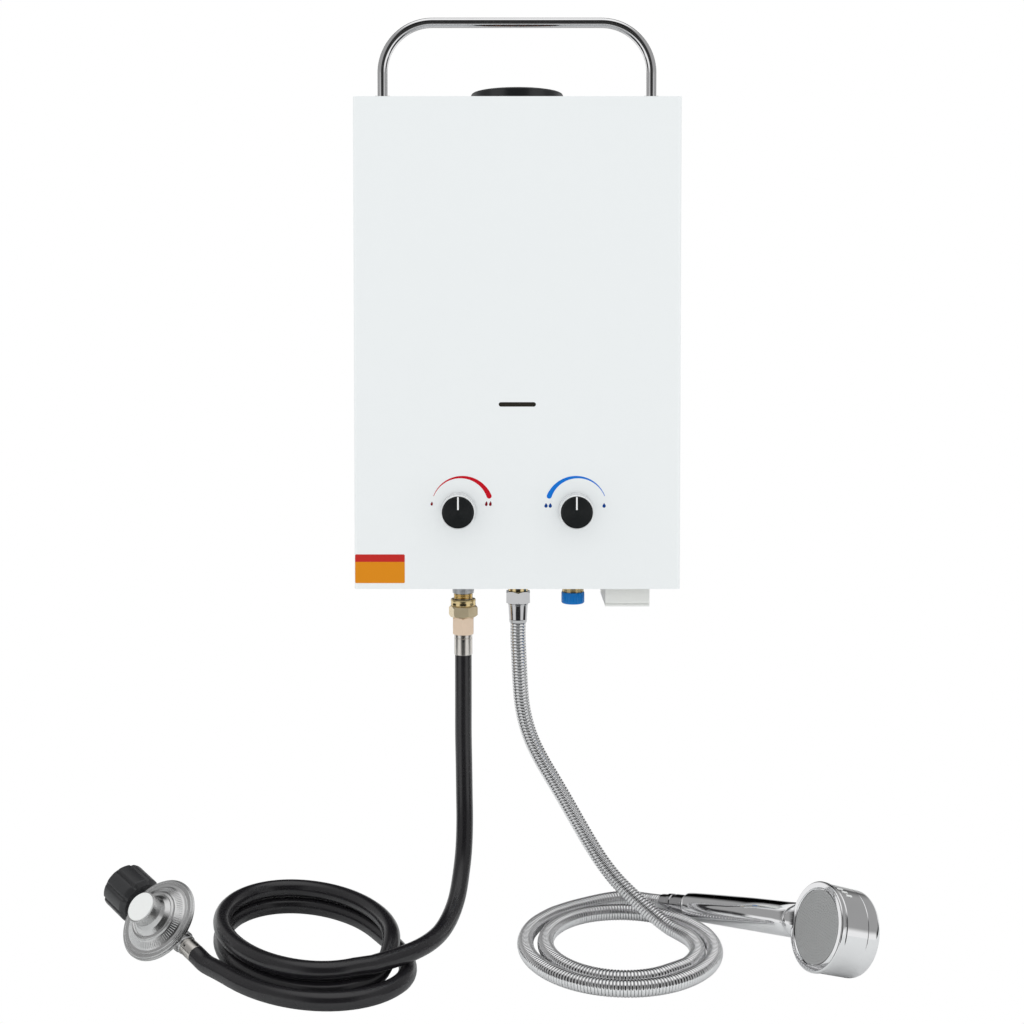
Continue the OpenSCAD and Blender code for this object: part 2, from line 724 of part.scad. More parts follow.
module handle() {
    color("silver") difference() {
        union() {
            for (side = [-1, 1]) {
                translate([side * handle_half, pivot_y, pivot_z])
                    cylinder(r = handle_r, h = bar_z - handle_bend - pivot_z);
                translate([side * handle_half, pivot_y, pivot_z]) sphere(r = handle_r);
                translate([side * (handle_half - handle_bend), pivot_y, bar_z - handle_bend])
                    rotate([90, 0, 0]) rotate([0, side > 0 ? 0 : 180, 0]) rotate_extrude(angle = 90)
                        translate([handle_bend, 0]) circle(handle_r);
            }
            rod_x(handle_bend - handle_half, handle_half - handle_bend, pivot_y, bar_z, handle_r);
        }
        for (side = [-1, 1])
            rod_x(side * handle_half - 2 * handle_r, side * handle_half + 2 * handle_r,
                pivot_y, pivot_z, pivot_r + running);
    }
}

module handle_brackets() {
    out = ear_in + bracket_t;
    color("silver") for (side = [-1, 1])
        translate([side * handle_half, pivot_y, top_plate_z]) {
            box([-out, -bracket_half, 0], [out, bracket_half, bracket_t]);
            box([-out, handle_r + gap, 0], [out, handle_r + gap + bracket_t, pivot_up + ear_r - 1]);
            for (x = [-out, ear_in])
                difference() {
                    union() {
                        box([x, -ear_r, 0], [x + bracket_t, handle_r + gap, pivot_up]);
                        rod_x(x, x + bracket_t, 0, pivot_up, ear_r);
                    }
                    rod_x(x - 1, x + bracket_t + 1, 0, pivot_up, pivot_r);
                }
        }
}

module handle_pins() {
    out = ear_in + bracket_t;
    color("dimgray") for (side = [-1, 1])
        translate([side * handle_half, 0, 0]) {
            rod_x(-out, out, pivot_y, pivot_z, pivot_r);
            rod_x(-out - pin_head_t, -out, pivot_y, pivot_z, pin_head_r);
            rod_x(out, out + pin_head_t, pivot_y, pivot_z, pin_head_r);
        }
}

module knob(x) {
    seat = knob_r - 1.5;
    color([0.13, 0.15, 0.16]) at_knob(x) difference() {
        rotate_extrude() difference() {
            union() {
                square([knob_r, knob_len - knob_round]);
                square([knob_r - knob_round, knob_len]);
                translate([knob_r - knob_round, knob_len - knob_round]) circle(knob_round);
            }
            translate([seat, -1]) square([knob_r, ring_len + 1]);
        }
        translate([0, 0, -1]) cylinder(r = spindle_r, h = spindle_depth + 1);
        box([-pointer_w / 2, knob_r - pointer_len - knob_round, knob_len - groove_t],
            [pointer_w / 2, knob_r + 1, knob_len + 1]);
    }
}

module knob_ring(x) {
    color("silver") at_knob(x) difference() {
        cylinder(r = ring_r, h = ring_len);
        translate([0, 0, -1]) cylinder(r = knob_r - 1.5, h = ring_len + 2);
    }
}

module knob_pointer(x) {
    color("white") at_knob(x)
        box([-pointer_w / 2, knob_r - pointer_len - knob_round, knob_len - groove_t],
            [pointer_w / 2, knob_r - knob_round, knob_len + 0.2]);
}

module spindle(x) {
    color("goldenrod") rod_y(x, front_y - knob_gap - spindle_depth, valve_front + spindle_depth,
        knob_z, spindle_r);
}

module combustion_chamber() {
    w = chamber_w / 2;
    color([0.72, 0.45, 0.28]) difference() {
        union() {
            difference() {
                box([-w, chamber_front, chamber_bottom], [w, -chamber_back, chamber_top]);
                box([-w + chamber_wall, chamber_front + chamber_wall, chamber_bottom - 1],
                    [w - chamber_wall, -chamber_back - chamber_wall, chamber_top + 1]);
            }
            for (y = [chamber_front + chamber_wall, -chamber_back - chamber_wall - ledge_d])
                box([-w + chamber_wall, y, chamber_bottom],
                    [w - chamber_wall, y + ledge_d, chamber_bottom + ledge_t]);
            for (side = [-1, 1], z = [chamber_bottom + 20, chamber_top - 40])
                translate([side * (w - bracket_w), -(chamber_back + sheet) / 2, z])
                    cube([bracket_w, chamber_back - sheet, bracket_h], center = true);
        }
        for (i = [0 : tube_count - 1])
            rod_x(-w - 1, w + 1, tube_y(i), fin_z, tube_r);
        translate([0, chamber_front, window_z])
            cube([window_w + 6, 4 * chamber_wall, window_h + 6], center = true);
        for (i = [0 : blade_count - 1])
            rod_y(blade_x(i), chamber_front - 1, chamber_front + chamber_wall + 1, manifold_z,
                jet_hole_r);
        for (x = electrode_xs)
            rod_y(x, chamber_front - 1, chamber_front + chamber_wall + 1, electrode_z, ceramic_r);
    }
}
function tube_y(i) = chamber_y + (i - (tube_count - 1) / 2) * tube_pitch;
function blade_x(i) = (i - (blade_count - 1) / 2) * blade_pitch;

module heat_fins() {
    fin_pitch = (chamber_w - 2 * chamber_wall - 4) / fin_count;
    depth = chamber_d - 2 * chamber_wall - 2 * pass;
    color([0.8, 0.5, 0.3]) for (i = [0 : fin_count - 1])
        translate([(i - (fin_count - 1) / 2) * fin_pitch - fin_t / 2, 0, fin_z])
            rotate([90, 0, 90]) linear_extrude(fin_t) difference() {
                translate([chamber_y, 0]) square([depth, fin_h], center = true);
                for (k = [0 : tube_count - 1])
                    translate([tube_y(k), 0]) circle(tube_r);
            }
}

// The snake of water tubes, r thick; its two ends stand out by extra
module tube_snake(r, extra) {
    for (i = [0 : tube_count - 1])
        rod_x(-tube_reach - (i == tube_count - 1 ? extra : 0), tube_reach + (i == 0 ? extra : 0),
            tube_y(i), fin_z, r);
    for (i = [0 : tube_count - 2])
        translate([(i % 2 == 0 ? -1 : 1) * tube_reach, tube_y(i) + tube_pitch / 2, fin_z])
            rotate(i % 2 == 0 ? 90 : -90) rotate_extrude(angle = 180)
                translate([tube_pitch / 2, 0]) circle(r);
}

module heat_tubes() {
    color([0.78, 0.48, 0.3]) difference() {
        tube_snake(tube_r, 0);
        tube_snake(tube_r - pipe_wall, 1);
    }
}

module exhaust_hood() {
    r = neck_r - gap;
    neck_z = chamber_top + hood_lap;
    color([0.75, 0.76, 0.78]) difference() {
        union() {
            hull() {
                translate([0, chamber_y, chamber_top]) linear_extrude(slice)
                    square([chamber_w, chamber_d], center = true);
                translate([0, flue_y, neck_z]) cylinder(r = r, h = slice, $fn = 32);
            }
            translate([0, flue_y, neck_z]) cylinder(r = r, h = top_plate_z - sheet - neck_z);
        }
        hull() {
            translate([0, chamber_y, chamber_top - 1]) linear_extrude(slice)
                square([chamber_w - 2 * chamber_wall, chamber_d - 2 * chamber_wall], center = true);
            translate([0, flue_y, neck_z]) cylinder(r = r - chamber_wall, h = slice, $fn = 32);
        }
        translate([0, flue_y, neck_z - slice]) cylinder(r = r - chamber_wall, h = casing_h);
    }
}

module burner_blades() {
    depth = chamber_d - 2 * chamber_wall - 2;
    slots = 7;
    wall = 0.8;
    top = 3;
    color("lightgray") for (i = [0 : blade_count - 1])
        translate([blade_x(i), chamber_y, blade_z]) difference() {
            translate([-blade_w / 2, -depth / 2, 0]) cube([blade_w, depth, blade_h]);
            translate([wall - blade_w / 2, wall - depth / 2, wall])
                cube([blade_w - 2 * wall, depth - 2 * wall, blade_h - wall - top]);
            for (k = [0 : slots - 1])
                translate([0, (k - (slots - 1) / 2) * depth / slots, blade_h])
                    cube([blade_w - 2 * wall - 0.4, 3, 3 * top], center = true);
            rod_y(0, -depth, 0, manifold_z - blade_z, blade_mouth_r);
        }
}

module gas_manifold() {
    reach = blade_x(blade_count - 1) + 6;
    elbow_z = (chamber_bottom + gas_valve_top) / 2;
    color("goldenrod") {
        rod_x(-reach, reach, manifold_y, manifold_z, manifold_r);
        for (i = [0 : blade_count - 1])
            rod_y(blade_x(i), manifold_y, chamber_front + chamber_wall, manifold_z, jet_r);
        pipe([[gas_port_x, manifold_y, manifold_z], [gas_port_x, manifold_y, elbow_z],
            [gas_port_x, valve_y, elbow_z], [gas_port_x, valve_y, gas_valve_top]], manifold_r);
    }
}

module gas_valve() {
    x = -knob_x;
    w = gas_valve_w / 2;
    color([0.66, 0.67, 0.69]) difference() {
        union() {
            box([x - w, valve_front, gas_valve_bottom], [x + w, valve_y + valve_d / 2, gas_valve_top]);
            rod_y(x, valve_front - boss_len, valve_front, knob_z, boss_r);
        }
        rod_y(x, valve_front - boss_len - 1, valve_front + spindle_depth + gap, knob_z,
            spindle_r + running);
        rod_x(x + w - rod_bore_depth, x + w + 1, valve_y, diaphragm_z, rod_r + running);
    }
}

module gas_solenoid() {
    x = -knob_x - gas_valve_w / 2;
    color("slategray") {
        rod_x(x - 26, x - 4, valve_y, knob_z, 12);
        rod_x(x - 4, x, valve_y, knob_z, 8);
    }
}

module water_valve() {
    w = water_valve_w / 2;
    color([0.80, 0.66, 0.36]) difference() {
        union() {
            box([cold_port_x - w, valve_front, water_valve_bottom],
                [cold_port_x + w, valve_y + valve_d / 2, gas_valve_top]);
            rod_x(diaphragm_x1 - diaphragm_body_t, diaphragm_x1, valve_y, diaphragm_z, diaphragm_r);
            rod_y(knob_x, valve_front - boss_len, valve_front, knob_z, boss_r);
        }
        rod_y(knob_x, valve_front - boss_len - 1, valve_front + spindle_depth + gap, knob_z,
            spindle_r + running);
    }
}

module diaphragm_cover() {
    x1 = diaphragm_x0 + diaphragm_t;
    color([0.70, 0.71, 0.73]) difference() {
        rod_x(diaphragm_x0, x1, valve_y, diaphragm_z, diaphragm_r);
        rod_x(diaphragm_x0 + cavity_wall, x1 + 1, valve_y, diaphragm_z, cavity_r);
        rod_x(diaphragm_x0 - 1, x1, valve_y, diaphragm_z, rod_r + running);
    }
}

module push_rod() {
    x1 = diaphragm_x0 + diaphragm_t - gap;
    color("silver") {
        rod_x(-knob_x + gas_valve_w / 2 - rod_sink, x1 - rod_head_t, valve_y, diaphragm_z, rod_r);
        rod_x(x1 - rod_head_t, x1, valve_y, diaphragm_z, rod_head_r);
    }
}

module micro_switch() {
    color([0.15, 0.15, 0.17]) translate([knob_x, valve_y, gas_valve_top + 4])
        cube([20, 10, 8], center = true);
}

module igniter() {
    color([0.12, 0.12, 0.13])
        translate([igniter_x, -sheet - igniter_d / 2, chamber_bottom - igniter_drop])
            cube([igniter_w, igniter_d, igniter_h], center = true);
}

module electrodes() {
    color("ivory") for (x = electrode_xs) {
        rod_y(x, chamber_front - electrode_out, chamber_front + electrode_in, electrode_z,
            ceramic_r);
        rod_y(x, chamber_front + electrode_in, chamber_front + electrode_in + electrode_tip,
            electrode_z, wire_r);
    }
}

module cold_pipe() {
    x0 = cold_port_x + water_valve_w / 2;
    x1 = tube_reach + cold_pipe_out;
    y1 = tube_y(0);
    z1 = chamber_bottom + pipe_turn_up;
    color([0.78, 0.48, 0.3])
        water_pipe([[x0, valve_y, knob_z], [x1, valve_y, knob_z], [x1, valve_y, z1], [x1, y1, z1],
            [x1, y1, fin_z], [tube_reach, y1, fin_z]]);
}

module hot_pipe() {
    x1 = -tube_reach - hot_pipe_out;
    y1 = tube_y(tube_count - 1);
    y2 = hot_pipe_y;
    z1 = chamber_bottom + pipe_turn_up;
    z2 = floor_plate_z + hot_pipe_up;
    color([0.78, 0.48, 0.3])
        water_pipe([[-tube_reach, y1, fin_z], [x1, y1, fin_z], [x1, y1, z1], [x1, y2, z1],
            [x1, y2, z2], [hot_port_x, y2, z2], [hot_port_x, port_y, z2],
            [hot_port_x, port_y, floor_plate_z + 8]]);
}

module gas_inlet() {
    color([0.62, 0.64, 0.66]) at_port(gas_port_x) difference() {
        union() {
            translate([0, 0, -gas_block_drop])
                cylinder(r = union_r - 2.5 - pass, h = gas_valve_bottom - bottom_z + gas_block_drop);
            translate([0, 0, -gas_block_drop]) cylinder(r = union_r - 1.8, h = gas_block_drop);
            translate([0, 0, 2 * sheet]) cylinder(r = port_flange_r, h = port_flange_t);
            translate([0, 0, -gas_neck_drop]) cylinder(r = gas_neck_r, h = gas_neck_drop);
        }
        translate([0, 0, -gas_neck_drop - 1]) cylinder(r = 4, h = gas_valve_bottom - bottom_z
            + gas_neck_drop + 1);
    }
}

module hot_outlet() {
    color("goldenrod") at_port(hot_port_x) difference() {
        union() {
            translate([0, 0, -hot_brass_drop])
                cylinder(r = hot_neck_r + 1, h = 2 * sheet + 8 + hot_brass_drop);
            translate([0, 0, 2 * sheet]) cylinder(r = port_flange_r, h = port_flange_t);
            translate([0, 0, -hot_neck_drop]) cylinder(r = hot_neck_r, h = hot_neck_drop);
        }
        translate([0, 0, -hot_neck_drop - 1]) cylinder(r = 5, h = hot_neck_drop + 2 * sheet + 7);
    }
}

module cold_inlet() {
    color("goldenrod") at_port(cold_port_x) difference() {
        union() {
            translate([0, 0, -cold_brass_drop])
                cylinder(r = cold_neck_r + 0.8, h = water_valve_bottom - bottom_z + cold_brass_drop);
            translate([0, 0, 2 * sheet]) cylinder(r = port_flange_r, h = port_flange_t);
            translate([0, 0, -cold_neck_drop]) cylinder(r = cold_neck_r, h = cold_neck_drop);
        }
        translate([0, 0, -cold_neck_drop - 1]) cylinder(r = 6, h = cold_neck_drop + 20);
    }
}

module inlet_cap() {
    color([0.1, 0.35, 0.75]) at_port(cold_port_x) difference() {
        translate([0, 0, -cap_drop]) cylinder(r = cap_r, h = cap_drop - cold_brass_drop - gap);
        translate([0, 0, -cold_neck_drop - gap]) cylinder(r = cold_neck_r + running, h = casing_h);
    }
}

module battery_case() {
    w = battery_w / 2;
    wall = box_wall;
    color([0.87, 0.87, 0.85, 0.9]) {
        difference() {
            union() {
                box([battery_x - w, battery_front, case_bottom],
                    [battery_x + w, battery_front + battery_d, case_top]);
                box([battery_x - w - 5, battery_front - 3, floor_plate_z],
                    [battery_x + w + 5, battery_front + battery_d + 3, floor_plate_z + 1.5]);
            }
            box([battery_x - w + wall, battery_front + wall, case_bottom - 1],
                [battery_x + w - wall, battery_front + battery_d - wall, case_top - wall]);
        }
        for (side = [-1, 1])
            translate([battery_x + side * (lid_barrel_len / 2 + gap + lid_ear_t / 2), 0, 0]) {
                rod_x(-lid_ear_t / 2, lid_ear_t / 2, lid_axis_y, lid_axis_z, lid_barrel_r);
                box([-lid_ear_t / 2, lid_axis_y - lid_barrel_r, lid_axis_z],
                    [lid_ear_t / 2, lid_axis_y + lid_barrel_r, case_bottom + 6]);
                box([-lid_ear_t / 2, battery_front + battery_d, case_bottom],
                    [lid_ear_t / 2, lid_axis_y, case_bottom + 6]);
                rod_x(side > 0 ? -lid_ear_t / 2 - 4 : lid_ear_t / 2,
                    side > 0 ? -lid_ear_t / 2 : lid_ear_t / 2 + 4, lid_axis_y, lid_axis_z, lid_pin_r);
            }
    }
}

module battery_lid() {
    w = battery_w / 2;
    color([0.87, 0.87, 0.85, 0.9]) difference() {
        union() {
            box([battery_x - w, battery_front, battery_bottom],
                [battery_x + w, battery_front + battery_d, lid_top]);
            box([battery_x - lid_barrel_len / 2, battery_front + battery_d, battery_bottom],
                [battery_x + lid_barrel_len / 2, lid_axis_y, lid_top]);
            rod_x(battery_x - lid_barrel_len / 2, battery_x + lid_barrel_len / 2,
                lid_axis_y, lid_axis_z, lid_barrel_r);
        }
        rod_x(battery_x - battery_w, battery_x + battery_w, lid_axis_y, lid_axis_z,
            lid_pin_r + running);
    }
}

module batteries() {
    color([0.2, 0.25, 0.3]) for (side = [-1, 1])
        translate([battery_x, battery_y + side * (cell_r + gap), cell_bottom]) {
            cylinder(r = cell_r, h = cell_len - 1.5);
            cylinder(r = 5, h = cell_len);
        }
}

module gas_union() {
    color([0.86, 0.72, 0.42]) at_port(gas_port_x) difference() {
        union() {
            translate([0, 0, -union_collar_drop])
                cylinder(r = union_r, h = union_collar_drop - union_top_drop);
            translate([0, 0, -union_drop])
                cylinder(r = union_r + 1.9, h = union_drop - union_collar_drop, $fn = 6);
        }
        translate([0, 0, -gas_neck_drop - 5]) cylinder(r = gas_neck_r + running, h = casing_h);
        translate([0, 0, -union_drop - 1]) cylinder(r = gas_stem_r + running, h = casing_h);
    }
}

module gas_fitting() {
    color([0.83, 0.62, 0.48]) at_port(gas_port_x) difference() {
        union() {
            translate([0, 0, -gas_fitting_drop])
                cylinder(r = union_r - 0.8, h = gas_fitting_drop - union_drop - gap, $fn = 6);
            translate([0, 0, -gas_fitting_drop])
                cylinder(r = gas_stem_r, h = gas_fitting_drop - gas_neck_drop);
            translate([0, 0, -gas_neck_drop - 4.6]) cylinder(r = gas_neck_r - 0.5, h = 4.6);
        }
        translate([0, 0, -gas_fitting_drop - 1]) cylinder(r = 3, h = casing_h);
    }
}

module gas_ferrule() {
    color("silver") at_port(gas_port_x) translate([0, 0, -gas_ferrule_drop])
        difference() {
            cylinder(r = gas_ferrule_r, h = gas_ferrule_drop - gas_fitting_drop);
            translate([0, 0, -1]) cylinder(r = 3, h = gas_ferrule_drop);
        }
}

module gas_hose() {
    color([0.1, 0.1, 0.11]) tube(gas_drop_line, gas_hose_r, 10, [1, 0.2, 0],
        heading(gas_floor_line, 0));
}

module gas_hose_coil() {
    color([0.1, 0.1, 0.11]) tube(gas_floor_line, gas_hose_r, 6, [0, 0, 1], flow_dir);
}

module regulator_ferrule() {
    color("silver") at_regulator() rod_x(outlet_x, outlet_x + regulator_ferrule_len, 0, -flow_drop,
        gas_hose_r);
}

module regulator_body() {
    color([0.7, 0.71, 0.72]) {
        at_regulator() {
            translate([0, 0, -flange_t]) cylinder(r = regulator_r, h = flange_t);
            translate([0, 0, -16]) cylinder(r1 = 18, r2 = 32, h = 16 - flange_t);
            rod_x(nut_x + gap, outlet_x, 0, -flow_drop, 8);
        }
        at_nut() {
            translate([0, 0, -1]) cylinder(r = inlet_stem_r, h = nut_wall + 1 + gap);
            translate([0, 0, nut_wall + gap]) cylinder(r = inlet_stem_r + 3, h = 3);
        }
    }
}

module regulator_bonnet() {
    color([0.76, 0.77, 0.78]) at_regulator() {
        cylinder(r = regulator_r - 1, h = 2);
        translate([0, 0, 2]) cylinder(r1 = 29, r2 = 20, h = 6);
        translate([0, 0, 8]) cylinder(r1 = 20, r2 = 15, h = 4);
        translate([0, 0, 12]) cylinder(r1 = 15, r2 = bonnet_cap_r + 1.2, h = bonnet_h - 12);
    }
}

module regulator_cap() {
    color("white") at_regulator() translate([0, 0, bonnet_h]) cylinder(r = bonnet_cap_r, h = 1.5);
}

module tank_nut() {
    rib_r = 3.4;
    mouth_r = 16.5;
    color([0.12, 0.12, 0.12]) at_nut() difference() {
        union() {
            cylinder(r = tank_nut_r - 1.6, h = tank_nut_len);
            for (i = [0 : tank_rib_count - 1])
                rotate(i * 360 / tank_rib_count) translate([tank_nut_r - rib_r, 0, 0])
                    cylinder(r = rib_r, h = tank_nut_len - 8);
        }
        translate([0, 0, nut_wall]) cylinder(r = mouth_r, h = tank_nut_len);
        translate([0, 0, -1]) cylinder(r = inlet_stem_r + running, h = tank_nut_len);
    }
}

module tank_nipple() {
    color("goldenrod") at_nut() translate([0, 0, nut_wall + gap + 3]) {
        cylinder(r = nipple_r, h = 14);
        translate([0, 0, 14]) cylinder(r1 = nipple_r, r2 = 3.5, h = 7);
    }
}

module hose_nut() {
    color("silver") at_port(hot_port_x) difference() {
        translate([0, 0, -hose_nut_drop])
            cylinder(r = hose_nut_r, h = hose_nut_drop - hose_nut_top_drop, $fn = 6);
        translate([0, 0, -hot_neck_drop - 1.8]) cylinder(r = hot_neck_r + running, h = casing_h);
        translate([0, 0, -hose_nut_drop - 1]) cylinder(r = hose_stem_r + running, h = casing_h);
    }
}

module hose_ferrule() {
    color("silver") at_port(hot_port_x) {
        translate([0, 0, -hot_neck_drop - 1.4]) cylinder(r = hot_neck_r - 0.5, h = 1.4);
        translate([0, 0, -hose_nut_drop - gap]) cylinder(r = hose_stem_r,
            h = hose_nut_drop - hot_neck_drop);
        translate([0, 0, -hose_ferrule_drop]) cylinder(r1 = 7.8, r2 = 9.3,
            h = hose_ferrule_drop - hose_nut_drop - gap);
    }
}

module shower_hose() {
    color([0.75, 0.75, 0.77]) ribbed_tube(shower_drop_line, drop_rib_count, 8, 2, [1, 0.2, 0],
        heading(even(shower_floor_line, 2 * coil_rib_count), 0));
}

module shower_hose_coil() {
    color([0.75, 0.75, 0.77]) ribbed_tube(shower_floor_line, coil_rib_count, 8, 4, [0, 0, 1],
        grip_dir);
}

module hose_cone() {
    color("silver") at_grip() difference() {
        translate([0, 0, gap]) cylinder(r1 = 8, r2 = 9.6, h = cone_len - gap);
        translate([0, 0, cone_len - stub_len - gap]) cylinder(r = stub_r + running, h = stub_len * 2);
        translate([0, 0, -1]) cylinder(r = hose_bore_r, h = cone_len);
    }
}

module handset_handle() {
    color("silver") difference() {
        at_grip() {
            translate([0, 0, cone_len + gap])
                cylinder(r1 = grip_r1, r2 = grip_r2, h = grip_len - cone_len - gap);
            translate([0, 0, cone_len - stub_len]) cylinder(r = stub_r, h = stub_len + 2 * gap);
        }
        at_grip() {
            translate([0, 0, cone_len - stub_len - 1]) cylinder(r = hose_bore_r, h = grip_len);
            translate([0, 0, cone_len + gap + shell])
                cylinder(r1 = grip_r1 - shell, r2 = grip_r2 - shell, h = grip_len - cone_len - gap);
        }
        at_head() translate([0, 0, -2 * head_t]) cylinder(r = head_r, h = 3 * head_t);
    }
}

module handset_head() {
    bezel_r = 1.5;
    back_r = 14;
    back_x = head_r - 1.1 - back_r;
    color("silver") at_head() rotate_extrude() difference() {
        union() {
            polygon([[0, -head_t], [back_x, -head_t], [back_x, back_r - head_t],
                [back_x + back_r, back_r - head_t], [head_r, -bezel_r],
                [head_r - bezel_r, -bezel_r], [head_r - bezel_r, 0], [0, 0]]);
            translate([head_r - bezel_r, -bezel_r]) circle(bezel_r);
            difference() {
                translate([back_x, back_r - head_t]) circle(back_r);
                translate([0, back_r - head_t]) square(head_r);
            }
        }
        translate([-head_r, -head_t - 1]) square([head_r, head_t + 2]);
        translate([0, -spray_recess]) square([spray_r, spray_recess + 1]);
        translate([0, 2 * shell - head_t]) square([spray_r - shell, head_t - 2 * shell]);
    }
}

module spray_plate() {
    color([0.6, 0.61, 0.62]) at_head() translate([0, 0, -spray_recess])
        cylinder(r = spray_r, h = spray_t);
}

back_plate();
bottom_plate();
front_cover();
panel_screws();
window_mica();
flue_collar();
flue_guard();
handle();
handle_brackets();
handle_pins();
knob(-knob_x);  // gas_knob
knob_ring(-knob_x);  // gas_knob_ring
knob_pointer(-knob_x);  // gas_knob_pointer
spindle(-knob_x);  // gas_spindle
knob(knob_x);  // water_knob
knob_ring(knob_x);  // water_knob_ring
knob_pointer(knob_x);  // water_knob_pointer
spindle(knob_x);  // water_spindle
combustion_chamber();
heat_fins();
heat_tubes();
exhaust_hood();
burner_blades();
gas_manifold();
gas_valve();
gas_solenoid();
water_valve();
diaphragm_cover();
push_rod();
micro_switch();
igniter();
electrodes();
cold_pipe();
hot_pipe();
gas_inlet();
hot_outlet();
cold_inlet();
inlet_cap();
battery_case();
battery_lid();
batteries();
gas_union();
gas_fitting();
gas_ferrule();
gas_hose();
gas_hose_coil();
regulator_ferrule();
regulator_body();
regulator_bonnet();
regulator_cap();
tank_nut();
tank_nipple();
hose_nut();
hose_ferrule();
shower_hose();
shower_hose_coil();
hose_cone();
handset_handle();
handset_head();
spray_plate();
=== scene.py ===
"""Looks of a portable propane water heater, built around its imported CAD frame.

The frame is the CAD's: the origin is the centre of the hanging hole in the rear shell, +X is to
the right seen from the front, -Y is towards the user and +Z is up. Sizes of pieces are in
millimetres. Those of the studio and the distances in shaders are in metres.
"""

from __future__ import annotations

import json
import logging
import math
from dataclasses import dataclass, field
from enum import Enum

import bmesh
import bpy
from mathutils import Matrix, Vector

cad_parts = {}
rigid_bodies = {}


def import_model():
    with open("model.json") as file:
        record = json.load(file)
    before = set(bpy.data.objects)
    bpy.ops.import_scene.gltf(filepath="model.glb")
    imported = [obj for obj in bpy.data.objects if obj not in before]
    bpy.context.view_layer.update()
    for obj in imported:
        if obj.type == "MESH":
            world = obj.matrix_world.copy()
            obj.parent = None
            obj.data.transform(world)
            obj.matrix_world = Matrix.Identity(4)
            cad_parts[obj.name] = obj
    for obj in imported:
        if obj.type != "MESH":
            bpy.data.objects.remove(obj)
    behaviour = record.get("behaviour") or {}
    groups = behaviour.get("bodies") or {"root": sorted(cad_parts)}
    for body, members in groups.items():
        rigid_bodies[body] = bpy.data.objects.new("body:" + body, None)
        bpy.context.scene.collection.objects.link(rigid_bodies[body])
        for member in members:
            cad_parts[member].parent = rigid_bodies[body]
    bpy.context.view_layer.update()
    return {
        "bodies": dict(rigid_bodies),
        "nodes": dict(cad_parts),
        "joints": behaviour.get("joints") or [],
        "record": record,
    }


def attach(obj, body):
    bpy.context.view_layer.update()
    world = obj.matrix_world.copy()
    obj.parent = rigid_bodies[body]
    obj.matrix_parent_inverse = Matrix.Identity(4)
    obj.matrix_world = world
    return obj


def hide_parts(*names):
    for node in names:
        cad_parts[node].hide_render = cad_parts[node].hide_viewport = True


log = logging.getLogger("heater")

MM = 0.001
TAU = 2 * math.pi
ROOT = "casing"

Point = tuple[float, float, float]
Colour = tuple[float, float, float]
Profile = list[tuple[float, float]]
Value = float | Colour | bpy.types.NodeSocket

# Places that several pieces share, in millimetres, as in the CAD source
CASING_BOTTOM = -412.0
FRONT_Y = -125.0
PORT_Y = -65.0
FLOOR_Z = CASING_BOTTOM - 320.0
KNOB_Z = CASING_BOTTOM + 70.7
KNOB_X = 52.0


def srgb(r: float, g: float, b: float) -> Colour:
    """Linear colour of an sRGB colour.

    Args:
        r, g, b: channels from 0 to 255.

    Returns:
        The three channels in linear light, from 0 to 1.
    """
    return tuple(
        c / 12.92 if c <= 0.04045 else ((c + 0.055) / 1.055) ** 2.4
        for c in (r / 255, g / 255, b / 255)
    )


# --------------------------------------------------------------------------- shader nodes
MIX_SOCKETS = {"FLOAT": (2, 0), "RGBA": (6, 2)}  # number of socket A and of the result


